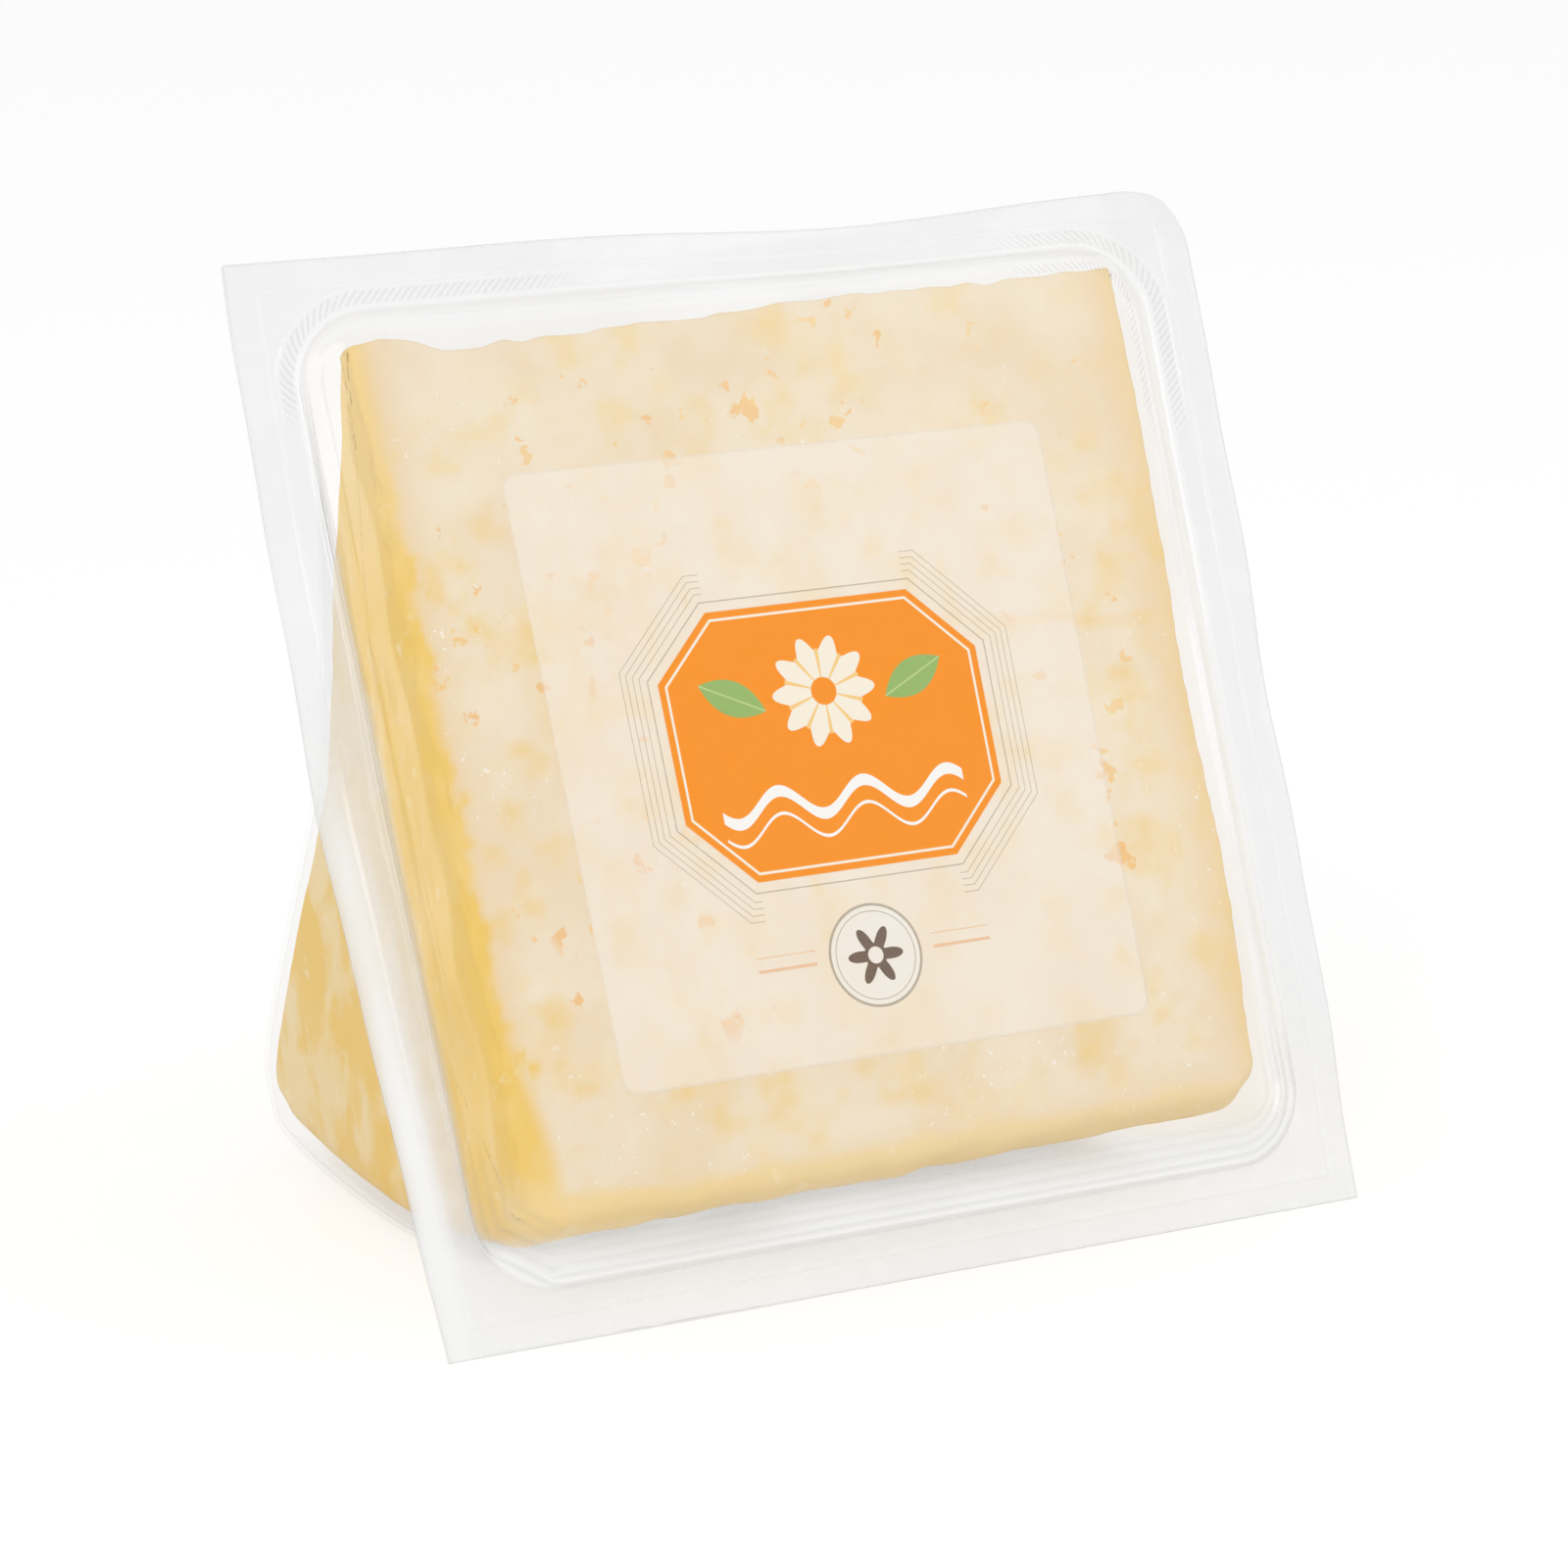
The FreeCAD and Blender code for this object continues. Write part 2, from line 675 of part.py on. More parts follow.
LID_SHRINK = (size("lid_wall"), "Sizes.lid_wall")
panel_front = size("face_proud") + size("lid_gap") + size("lid_wall")
panel_inside = size("face_proud") + size("lid_gap")
panel_outer = [
    mouth_sketch(lid, "panel_mouth", "mouth", "0", 0.0, NO_SHRINK),
    face_sketch(
        "panel_face",
        "-Sizes.face_proud - Sizes.lid_gap - Sizes.lid_wall",
        -panel_front,
        NO_SHRINK,
    ),
]
doc.recompute()
loft_sketches(lid, "raised_panel", panel_outer, True, True)
panel_inner = [
    mouth_sketch(lid, "panel_inside_mouth", "mouth", "0", 0.0, LID_SHRINK),
    face_sketch(
        "panel_inside_face",
        "-Sizes.face_proud - Sizes.lid_gap",
        -panel_inside,
        (0.0, "0"),
    ),
]
doc.recompute()
loft_sketches(lid, "panel_inside", panel_inner, False, True)

# The seal line stands as a thin bead on the lid, square at its corners.
seal_sketch = new_sketch(
    lid, "seal_outline", "XZ_Plane", "Sizes.lid_wall", size("lid_wall")
)
plate_outline(seal_sketch, "seal_out", "seal_inset")
put_size("seal_inner", "=seal_inset + seal_width", "inner side of the seal line")
doc.recompute()
plate_outline(seal_sketch, "seal_in", "seal_inner")
doc.recompute()
pad_sketch(lid, "seal_bead", seal_sketch, "Sizes.seal_height")

# ---------------------------------------------------------- the front label
label = new_body("front_label")
label_sketch = new_sketch(
    label,
    "label_outline",
    "XZ_Plane",
    "Sizes.face_proud + Sizes.lid_gap + Sizes.lid_wall",
    panel_front,
)
round_box(
    label_sketch,
    "label",
    (size("label_shift"), "Sizes.label_shift"),
    (size("label_width") / 2, "(Sizes.label_width / 2)"),
    (
        size("label_middle") - size("label_height") / 2,
        "Sizes.label_middle - Sizes.label_height / 2",
    ),
    (
        size("label_middle") + size("label_height") / 2,
        "Sizes.label_middle + Sizes.label_height / 2",
    ),
    (size("label_round"), "Sizes.label_round"),
    (size("label_round"), "Sizes.label_round"),
)
doc.recompute()
pad_sketch(label, "label_sheet", label_sketch, "Sizes.label_wall")

# ------------------------------------------------------ checks and the files
doc.recompute()
for item in doc.Objects:
    if "Invalid" in item.State or "Error" in item.State:
        raise ValueError(f"{item.Name} did not build: {item.State}")

os.makedirs("parts", exist_ok=True)
for body in (cheese, pocket, lid, label):
    shape = body.Shape
    if shape.isNull() or not shape.isValid():
        raise ValueError(f"{body.Label} has no valid shape")
    if len(shape.Solids) != 1:
        raise ValueError(f"{body.Label} is not one solid")
    shape.exportStep(f"parts/{body.Label}.step")
    box = shape.BoundBox
    print(
        f"{body.Label}: {shape.Volume / 1000:.2f} cm3,"
        f" x {box.XMin:.1f}..{box.XMax:.1f},"
        f" y {box.YMin:.1f}..{box.YMax:.1f},"
        f" z {box.ZMin:.2f}..{box.ZMax:.1f}"
    )
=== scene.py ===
# %% [markdown]
# # A wedge of sheep milk cheese in a clear film pack
# The object is a slice of a small cheese wheel.  It lies in a pocket of thin
# formed film, and a flat lid film with a label closes the pocket in front.
# The measured solids come first, because every new surface has to sit in the
# space that they hold.

# %% Load the measured solids
import itertools
import math
import bpy
import numpy as np
from mathutils import Matrix, Vector


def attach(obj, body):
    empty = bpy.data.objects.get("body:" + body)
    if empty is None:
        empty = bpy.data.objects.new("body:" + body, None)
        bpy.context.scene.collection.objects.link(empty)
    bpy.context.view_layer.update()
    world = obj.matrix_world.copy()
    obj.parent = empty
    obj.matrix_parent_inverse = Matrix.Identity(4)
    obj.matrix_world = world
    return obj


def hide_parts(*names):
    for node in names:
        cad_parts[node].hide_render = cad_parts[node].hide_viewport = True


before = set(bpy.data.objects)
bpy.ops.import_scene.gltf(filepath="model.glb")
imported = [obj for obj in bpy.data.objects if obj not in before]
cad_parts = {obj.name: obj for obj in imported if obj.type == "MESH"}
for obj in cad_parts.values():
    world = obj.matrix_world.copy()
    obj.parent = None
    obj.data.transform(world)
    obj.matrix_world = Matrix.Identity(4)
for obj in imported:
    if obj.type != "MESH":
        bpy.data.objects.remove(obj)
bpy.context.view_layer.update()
print("solids:", sorted(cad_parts))

# %% [markdown]
# ## The frame of the lid
# Everything on this pack is built on the lid, which leans back.  So each
# shape is worked out in millimetres as across, up the lid and into the
# pocket, and one function turns that into the upright frame of the table.

# %% Sizes in millimetres, and the turn from the lid to the table
LEAN = math.radians(24.5)
STAND_BACK, STAND_UP = 33.247, 0.145
PACK_WIDE, PACK_TALL = 111.2, 114.3
WHEEL_RADIUS, WHEEL_HEIGHT = 94.0, 89.8
HANG_RADIUS = 95.0
SLICE_ANGLE = math.radians(39.5)
APEX_UP = 104.235
FACE_PROUD = 1.7
WEDGE_SHIFT = 0.2
RIM_INSET, RIM_ROUND = 5.6, 8.5
WIDENING = 0.044
SEAL_INSET = 3.1


def to_table(lid_points):
    """Lean points of the lid frame back and set them on the table, in metres.

    y is up the lid times sin(lean) plus depth times cos(lean); z is up the
    lid times cos(lean) less depth times sin(lean).  The film was cut a little
    wider at the top than at the foot, so x grows slowly with the height.
    """
    across, up, deep = lid_points[..., 0], lid_points[..., 1], lid_points[..., 2]
    x = across * (1 + WIDENING * (up / PACK_TALL - 0.5))
    y = up * math.sin(LEAN) + deep * math.cos(LEAN) - STAND_BACK
    z = up * math.cos(LEAN) - deep * math.sin(LEAN) + STAND_UP
    return np.stack([x, y, z], axis=-1) / 1000


print("top of the lid stands at", to_table(np.array([0.0, PACK_TALL, 0.0])).round(4))

# %% [markdown]
# ## Softly random numbers
# Food and film are uneven, but not noisy: their bumps are smooth and have a
# size.  A lattice of random values, blended smoothly between its corners,
# gives a field with exactly one bump size, and a few of them make a surface.

# %% Smooth noise on arrays of points
def smooth_noise(points, bump_size, seed):
    """Blend random lattice values at each point; the result is -1 to 1.

    The weight along each axis is 3t^2 - 2t^3 of the place t in its cell.
    """
    lattice = np.random.default_rng(seed).uniform(-1, 1, (24, 24, 24))
    cell_place = points / bump_size + 100.0
    cell = np.floor(cell_place).astype(int)
    t = cell_place - cell
    t = t * t * (3 - 2 * t)
    total = np.zeros(points.shape[:-1])
    for corner in itertools.product((0, 1), repeat=3):
        weight = np.ones(points.shape[:-1])
        for axis in range(3):
            weight = weight * (t[..., axis] if corner[axis] else 1 - t[..., axis])
        index = (cell + np.array(corner)) % 24
        total += weight * lattice[index[..., 0], index[..., 1], index[..., 2]]
    return total


def smooth_step(low, high, value):
    """Rise from 0 at low to 1 at high along 3t^2 - 2t^3."""
    t = np.clip((value - low) / (high - low), 0, 1)
    return t * t * (3 - 2 * t)


def bell(distance, width):
    """A bell curve: 1 at the distance 0, falling off over the width."""
    return np.exp(-((distance / width) ** 2))


print("a quarter of the way up the smooth step:", smooth_step(0, 4, 1.0))

# %% [markdown]
# ## From a grid of points to a mesh
# All the pieces here are grids: rows and columns of points.  A grid that
# closes on itself, like the wall of a pocket, joins its last column to the
# first.  A thin film is two such grids, one behind the other, joined along
# their open edge, so that it has a real thickness.

# %% Mesh makers
def grid_quads(rows, columns, wrap, first=0, flip=False):
    """List the four corners of every cell of a grid, as one array."""
    index = first + np.arange(rows * columns).reshape(rows, columns)
    right = np.roll(index, -1, axis=1) if wrap else index[:, 1:]
    left = index if wrap else index[:, :-1]
    quads = np.stack([left[:-1], left[1:], right[1:], right[:-1]], axis=-1)
    quads = quads.reshape(-1, 4)
    return quads[:, ::-1] if flip else quads


def signed_volume(points, quads):
    """Volume inside the quads: positive where their faces point outwards.

    It is the sum over triangles of first . (second x third) / 6.
    """
    a, b, c, d = (points[quads[:, corner]] for corner in range(4))
    first = np.einsum("ij,ij->i", a, np.cross(b, c)).sum()
    second = np.einsum("ij,ij->i", a, np.cross(c, d)).sum()
    return (first + second) / 6


def make_piece(name, lid_points, quads, values=None, triangles=None):
    """Build a smooth mesh object from points and faces, and let it ride."""
    points = to_table(lid_points)
    if signed_volume(points, quads) < 0:
        quads = quads[:, ::-1]
        triangles = None if triangles is None else triangles[:, ::-1]
    corners = quads.ravel()
    totals = np.full(len(quads), 4)
    if triangles is not None:
        corners = np.concatenate([corners, triangles.ravel()])
        totals = np.concatenate([totals, np.full(len(triangles), 3)])
    starts = np.concatenate([[0], np.cumsum(totals)[:-1]])
    mesh = bpy.data.meshes.new(name)
    mesh.vertices.add(len(points))
    mesh.vertices.foreach_set("co", points.astype(np.float32).ravel())
    mesh.loops.add(len(corners))
    mesh.loops.foreach_set("vertex_index", corners.astype(np.int32))
    mesh.polygons.add(len(totals))
    mesh.polygons.foreach_set("loop_start", starts.astype(np.int32))
    mesh.update(calc_edges=True)
    mesh.validate()
    mesh.polygons.foreach_set("use_smooth", np.ones(len(mesh.polygons), bool))
    for key, column in (values or {}).items():
        layer = mesh.attributes.new(key, "FLOAT", "POINT")
        layer.data.foreach_set("value", column.astype(np.float32).ravel())
    piece = bpy.data.objects.new(name, mesh)
    bpy.context.scene.collection.objects.link(piece)
    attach(piece, "root")
    print(name, len(mesh.polygons), "faces")
    return piece


def rim_quads(outline_front, outline_back):
    """Join two closed outlines of vertex numbers by a strip of quads."""
    following_front = np.roll(outline_front, -1)
    following_back = np.roll(outline_back, -1)
    return np.stack(
        [outline_front, following_front, following_back, outline_back], axis=-1
    )


print("cells of a grid of 3 by 4 points:", len(grid_quads(3, 4, False)))

# %% [markdown]
# ## How far a point is from a rounded rectangle
# The seal, the mouth of the pocket and the cut face are all rectangles with
# round corners.  One distance function serves them all: negative inside,
# zero on the line and positive outside.

# %% Distance fields on the lid
def round_box_distance(across, up, middle, half, low, high, corner):
    """Signed distance to a rectangle with round corners.

    It is the length of the overshoot past the box shrunk by the corner
    radius, less that radius; inside, the nearer side counts.
    """
    tall = (high - low) / 2
    over_x = np.abs(across - middle) - (half - corner)
    over_y = np.abs(up - (low + high) / 2) - (tall - corner)
    outside = np.hypot(np.maximum(over_x, 0), np.maximum(over_y, 0))
    inside = np.minimum(np.maximum(over_x, over_y), 0)
    return outside + inside - corner


def mouth_distance(across, up):
    """Distance to the mouth of the pocket, negative inside it."""
    half = PACK_WIDE / 2 - RIM_INSET
    return round_box_distance(
        across, up, 0, half, RIM_INSET, PACK_TALL - RIM_INSET, RIM_ROUND
    )


def face_distance(across, up):
    """Distance to the cut face behind the lid, which is higher on the right."""
    low = APEX_UP - WHEEL_RADIUS + 1.6
    high = APEX_UP + 1.4 + 0.9 * smooth_step(-30, 45, across)
    middle = WEDGE_SHIFT + 0.4
    return round_box_distance(
        across, up, middle, WHEEL_HEIGHT / 2 + 0.5, low, high, 1.5
    )


def edge_distance(across, up):
    """Distance in from the cut edge of the flange."""
    side = PACK_WIDE / 2 - np.abs(across)
    return np.minimum(side, np.minimum(up, PACK_TALL - up))


print("middle of the lid to the mouth:", round(float(mouth_distance(0.0, PACK_TALL / 2)), 1))

# %% [markdown]
# ## The flange is soft
# A sealed margin of film never stays flat: the left side leans back, the
# right side comes forward and its upper corner curls.  Both films share one
# bend, so the sealed margin stays together.

# %% The bend of the flange
BEND_REACH, CORNER_REACH = 9.0, 8.0


def flange_bend(across, up):
    """How far the margin is pushed into the depth, in millimetres.

    Each side has a ramp that starts at the mouth of the pocket, times a slow
    wave along that side; positive goes back, negative comes forward.
    """
    half = PACK_WIDE / 2
    left = smooth_step(half - BEND_REACH, half, -across)
    right = smooth_step(half - BEND_REACH, half, across)
    top = smooth_step(PACK_TALL - BEND_REACH, PACK_TALL, up)
    height = up / PACK_TALL
    lean_left = 2.2 * np.sin(np.pi * np.clip(height, 0, 1)) ** 1.2
    lean_right = -0.8 - 1.2 * height - 0.8 * height**6
    lean_top = 1.6 * bell(across - 12, 24)
    wave = 0.35 * np.sin(up / 7.5 + 0.6) + 0.25 * np.sin(up / 4.1)
    wave_top = 0.3 * np.sin(across / 8.0)
    bend = left * (lean_left + wave)
    bend = bend + right * (lean_right + wave)
    bend = bend + top * (lean_top + wave_top)
    return bend * smooth_step(-2, 18, up)


def flange_pull(across, up):
    """How far the free edge is pulled in across and up, in millimetres.

    The heat of the seal shrinks the film between its corners.  The upper
    right corner is rounded by the map that turns a square into a circle:
    each place x, y goes to x * sqrt(1 - y^2 / 2) and y * sqrt(1 - x^2 / 2).
    """
    half = PACK_WIDE / 2
    top = smooth_step(PACK_TALL - CORNER_REACH, PACK_TALL, up)
    bottom = smooth_step(CORNER_REACH, 0.0, up)
    left = smooth_step(half - CORNER_REACH, half, -across)
    sag = bell(across - 18, 22)
    up_shift = -top * sag - bottom * 0.12 * bell(across + 28, 14)
    across_shift = -left * 0.9 * np.sin(np.pi * np.clip(up / PACK_TALL, 0, 1))
    corner_x = np.clip((across - (half - CORNER_REACH)) / CORNER_REACH, 0, 1)
    corner_y = np.clip((up - (PACK_TALL - CORNER_REACH)) / CORNER_REACH, 0, 1)
    across_shift = across_shift - CORNER_REACH * corner_x * (1 - np.sqrt(1 - corner_y**2 / 2))
    up_shift = up_shift - CORNER_REACH * corner_y * (1 - np.sqrt(1 - corner_x**2 / 2))
    return across_shift, up_shift


print("left margin leans back", round(float(flange_bend(-PACK_WIDE / 2, PACK_TALL / 2)), 1), "mm")

# %% [markdown]
# ## The outline of a slice
# Seen from the side, the slice is a sector: the front cut, the curved rind
# and the rear cut, with its corners worn round.  Both the cheese and the
# film pocket round it start from this one outline, so they fit each other.

# %% The sector, with round corners
FRONT_ROUND, REAR_ROUND, THIN_ROUND = 3.3, 4.5, 0.5
SIDE_COUNTS = (118, 14, 76, 14, 92, 6)


def arc(centre, radius, first, last, count):
    """Points of a circular arc, as distance down and depth."""
    turn = np.linspace(first, last, count, endpoint=False)
    return centre[0] + radius * np.cos(turn), centre[1] + radius * np.sin(turn)


def sector_outline(radius):
    """Walk the sector: down the front cut, round the rind, up the rear cut.

    Gives the distance down from the thin edge and the depth.  Each round
    corner is an arc that touches its two neighbours, so its centre lies one
    corner radius inside both.
    """
    lean_front = math.asin(FRONT_ROUND / (radius - FRONT_ROUND))
    lean_rear = math.asin(REAR_ROUND / (radius - REAR_ROUND))
    front_down = math.sqrt((radius - FRONT_ROUND) ** 2 - FRONT_ROUND**2)
    rear_reach = math.sqrt((radius - REAR_ROUND) ** 2 - REAR_ROUND**2)
    thin_reach = THIN_ROUND / math.tan(SLICE_ANGLE / 2)
    rear_turn = SLICE_ANGLE - lean_rear
    rear_centre = (
        (radius - REAR_ROUND) * math.cos(rear_turn),
        (radius - REAR_ROUND) * math.sin(rear_turn),
    )
    front = np.linspace(thin_reach, front_down, SIDE_COUNTS[0], endpoint=False)
    rear = np.linspace(rear_reach, thin_reach, SIDE_COUNTS[4], endpoint=False)
    stretches = [
        (front, np.zeros_like(front)),
        arc((front_down, FRONT_ROUND), FRONT_ROUND, -math.pi / 2, lean_front, SIDE_COUNTS[1]),
        arc((0.0, 0.0), radius, lean_front, rear_turn, SIDE_COUNTS[2]),
        arc(rear_centre, REAR_ROUND, rear_turn, SLICE_ANGLE + math.pi / 2, SIDE_COUNTS[3]),
        (rear * math.cos(SLICE_ANGLE), rear * math.sin(SLICE_ANGLE)),
        arc(
            (thin_reach, THIN_ROUND),
            THIN_ROUND,
            SLICE_ANGLE + math.pi / 2,
            1.5 * math.pi,
            SIDE_COUNTS[5],
        ),
    ]
    return tuple(np.concatenate(column) for column in zip(*stretches))


def slice_place(down, deep):
    """Where a point lies on the slice: its reach, its turn, and two more.

    They are the distance from the thin edge, the angle back from the front
    cut, the distance in front of the rear cut and the distance along it.
    """
    reach = np.hypot(down, deep)
    turn = np.arctan2(deep, down)
    before_rear = reach * np.sin(SLICE_ANGLE - turn)
    along_rear = reach * np.cos(SLICE_ANGLE - turn)
    return reach, turn, before_rear, along_rear


HOLLOW_DEEP, HOLLOW_PLACE, HOLLOW_WIDE, PRESS_DEPTH = 3.0, 46.0, 15.0, 16.0


def settle(down, deep, share_left=1.0):
    """Press the sector the way the ripened slice is pressed.

    The rear cut is hollow half way and swells near the rind, the rind's own
    radius grows a little towards the rear, and the thin edge is blunt.  All
    are bell curves or smooth steps of the distance from the thin edge, faded
    by the distance from the surface that they belong to.
    """
    reach, turn, before_rear, along_rear = slice_place(down, deep)
    swell = 3.6 * smooth_step(58.0, 88.0, along_rear)
    hollow = HOLLOW_DEEP * bell(along_rear - HOLLOW_PLACE, HOLLOW_WIDE) * share_left
    push = (swell - hollow) * bell(before_rear, PRESS_DEPTH)
    grow = 1.3 * smooth_step(0.43, 0.67, turn) * smooth_step(60.0, 94.0, reach)
    blunt = 2.0 * smooth_step(0.1, 0.6, turn) * bell(reach, 9.0)
    down = down - push * math.sin(SLICE_ANGLE) + grow * np.cos(turn)
    deep = deep + push * math.cos(SLICE_ANGLE) + grow * np.sin(turn) + blunt
    return down, deep


outline_down, outline_deep = sector_outline(WHEEL_RADIUS)
print("points round the sector:", len(outline_down))

# %% [markdown]
# ## The lid film
# The lid is one sheet.  Over the flange it is flat, with the sealing tool's
# bead, then it climbs from the mouth of the pocket to the cut face of the
# cheese, which pushes it forward.  Its grid has fine lines in the margin,
# where the beads are, and coarse ones over the flat face.

# %% The surface of the lid
def uneven_steps(stops, counts):
    """Lay out numbers between stops, with its own count in each stretch."""
    stretches = [
        np.linspace(stops[i], stops[i + 1], counts[i], endpoint=False)
        for i in range(len(counts))
    ]
    return np.concatenate([*stretches, [stops[-1]]])


def way_round(across, up):
    """Length along the upper half of the mouth's outline, in millimetres.

    It is zero where the top's straight part ends, negative towards the
    middle, an arc length round the corner and then the way down the side.
    """
    right = np.abs(across) - (PACK_WIDE / 2 - RIM_INSET - RIM_ROUND)
    above = up - (PACK_TALL - RIM_INSET - RIM_ROUND)
    corner = np.arctan2(np.maximum(right, 0), np.maximum(above, 1e-6))
    return np.minimum(right, 0) + RIM_ROUND * corner + np.maximum(-above, 0)


RIB_PITCH = 0.85
FOOT_LINES = (
    (0.1, 1.0, 0.2),
    (1.2, 0.8, 0.2),
    (2.3, 0.7, 0.2),
    (3.4, 0.55, 0.2),
    (4.4, 0.35, 0.25),
)


def rib_turns(across, up):
    """The ribs' wave in whole turns: the slanted way round over the pitch."""
    return (way_round(across, up) + mouth_distance(across, up)) / RIB_PITCH


def tool_marks(across, up):
    """Lines that the sealing tool leaves: beads, fine ribs and foot lines.

    A bead is a bell curve of the distance to its line.  The ribs are a wave
    of the way round the outline, slanted by the distance to it, in bands
    just outside and just inside the mouth near the upper corners; where the
    grid is coarse only their band is given.  The foot lines step inwards
    from the mouth and cut off the lower left corner.
    """
    edge, mouth = edge_distance(across, up), mouth_distance(across, up)
    on_right = smooth_step(0, 30, across)
    corner = smooth_step(14 + 16 * on_right, 24 + 14 * on_right, np.abs(across))
    corner = corner * smooth_step(95 - 12 * on_right, 101 - 10 * on_right, up)
    beads = 0.5 * bell(edge - SEAL_INSET, 0.20) + 1.0 * bell(mouth, 0.26)
    beads = beads + 0.6 * bell(mouth - 2.0, 0.2) * corner
    beads = beads + 0.5 * bell(mouth + 2.0, 0.25) * smooth_step(20, 40, up)
    outer = smooth_step(0.25, 0.5, mouth) * smooth_step(1.9, 1.6, mouth)
    inner = smooth_step(-3.5, -3.2, mouth) * smooth_step(-2.2, -2.5, mouth)
    bands = outer * corner + inner * corner * smooth_step(10, 30, across)
    wave = np.sin(rib_turns(across, up) * 2 * np.pi)
    fine = smooth_step(PACK_WIDE / 2 - 14, PACK_WIDE / 2 - 12.5, np.abs(across))
    fine = fine * smooth_step(PACK_TALL - 14, PACK_TALL - 12.5, up)
    left = across + PACK_WIDE / 2
    cut_corner = 6.6 * (1 - (left - SEAL_INSET) / 14.0 - (up - SEAL_INSET) / 9.5)
    step = np.maximum(mouth, cut_corner)
    foot = smooth_step(24, 14, up) * smooth_step(0.6, 0.2, step)
    lines = sum(
        strength * bell(step + place, width) for place, strength, width in FOOT_LINES
    )
    hatch = smooth_step(-1.1, -0.9, step) * smooth_step(-0.1, -0.3, step)
    hatch = hatch * bell(left - 15, 6) * smooth_step(16, 12, up)
    hatch_wave = np.sin((across + up) * 2 * np.pi / 0.75)
    ribs = 0.5 * (1 + wave) * bands * fine + 0.5 * (1 + hatch_wave) * hatch
    return beads, ribs, lines * foot, bands


def relief_of_tool(across, up):
    """Height of the tool's marks, forward in millimetres."""
    beads, ribs, lines, _ = tool_marks(across, up)
    return 0.24 * beads + 0.10 * ribs + 0.20 * lines


def lid_forward(across, up):
    """How far the lid stands in front of the flange.

    Between the mouth and the cut face it climbs along a smooth step of the
    share of the way; pleats run across that slope.
    """
    mouth, face = mouth_distance(across, up), face_distance(across, up)
    inward = np.maximum(-mouth, 0)
    share = inward / np.maximum(inward + np.maximum(face, 0), 1e-6)
    climb = smooth_step(0, 1, share)
    slope = climb * (1 - climb) * 4
    pleats = 0.12 * np.sin(across / 2.3 + 1.5 * np.sin(up / 9)) * slope
    pleats = pleats + 0.10 * np.sin(up / 2.9 + 1.2 * np.sin(across / 11)) * slope
    over_face = (FACE_PROUD + 0.17) * climb
    return over_face + pleats + relief_of_tool(across, up) * (1 - climb)


half_wide = PACK_WIDE / 2
lid_across = uneven_steps(
    [-half_wide, -half_wide + 13, half_wide - 13, half_wide], [82, 56, 82]
)
lid_up = uneven_steps([0, 14, PACK_TALL - 13, PACK_TALL], [88, 46, 82])
ACROSS, UP = np.meshgrid(lid_across, lid_up)
LID_WALL = 0.16


def lid_sheet(forward_offset):
    """The lid's surface, moved forward by an even amount."""
    shift_x, shift_y = flange_pull(ACROSS, UP)
    depth = -lid_forward(ACROSS, UP) - forward_offset + flange_bend(ACROSS, UP)
    return np.stack([ACROSS + shift_x, UP + shift_y, depth], axis=-1)


def outline_numbers(rows, columns, first):
    """Vertex numbers round the open edge of a grid, in order."""
    index = first + np.arange(rows * columns).reshape(rows, columns)
    return np.concatenate(
        [index[0, :-1], index[:-1, -1], index[-1, :0:-1], index[:0:-1, 0]]
    )


def haze_of_lid(across, up):
    """How milky the film looks, from 0 to 1.

    Least where it lies on the cheese, more where it spans freely and in the
    sealed margin, most where the margin was drawn back on the lower left and
    over the foot.  Over the foot the milky white is painted light: it covers
    the shade in the gap under the cheese.  The beads are made clearer at the
    top, a painted highlight, and milkier at the foot, painted shade; the foot
    lines are milkier too, painted shade as well.
    """
    mouth, face = mouth_distance(across, up), face_distance(across, up)
    beads, _, lines, _ = tool_marks(across, up)
    sealed = smooth_step(-0.6, 0.4, mouth)
    free = smooth_step(-0.5, 4.5, face) * (1 - sealed)
    upper = smooth_step(30, 70, up)
    left = across + PACK_WIDE / 2
    drawn = smooth_step(78, 42, up) * bell(left - 1.7, 2.2)
    # painted light: the film over the foot is made milky to cover the shade in the gap under the
    # cheese
    foot = smooth_step(12.0, 9.2, up) * free
    low_seal = sealed * smooth_step(13, 6, up)
    beside = sealed * smooth_step(78, 60, up) * smooth_step(16, 30, up) * bell(left - 6.0, 1.6)
    # painted highlight on the beads at the top, painted shade on the beads at the foot
    marks = (0.10 - 0.24 * upper) * beads - 0.10 * beside
    spanning = (0.15 - 0.11 * smooth_step(14, 9, left) * smooth_step(12, 16, up)) * free
    haze = 0.05 + spanning + 0.20 * sealed + 0.62 * drawn + 0.68 * foot + 0.08 * low_seal
    cloudy = 1 + 0.2 * smooth_noise(np.stack([across, up, 0 * up], -1), 11.0, 9)
    haze = haze * cloudy + marks + 0.08 * lines
    return np.clip(haze, 0.02, 0.95)


def white_of_lid(across, up):
    """Whiter film along the lower left edge, and over the foot as painted light that hides the
    gap's shade.
    """
    left = across + PACK_WIDE / 2
    drawn = smooth_step(78, 42, up) * bell(left - 1.7, 2.6)
    inside = smooth_step(0.6, -0.6, mouth_distance(across, up))
    return np.clip(drawn + smooth_step(13, 9, up) * inside, 0, 1)


def dark_lines(across, up):
    """The cut edge of the film and the tool's foot lines, 0 to 1, for painted shade."""
    return 0.6 * bell(edge_distance(across, up), 0.22) + tool_marks(across, up)[2]


def cream_of_lid(across, up):
    """Where the film is tinted cream, near the cut face of the cheese."""
    return smooth_step(5.5, 0.5, face_distance(across, up))


# %% [markdown]
# ## The lid as one closed shell
# A sheet without thickness would be simpler, but real film has two sides and
# a cut edge.  So the lid gets a front and a back, joined round the edge, and
# both carry the numbers that its finish reads.

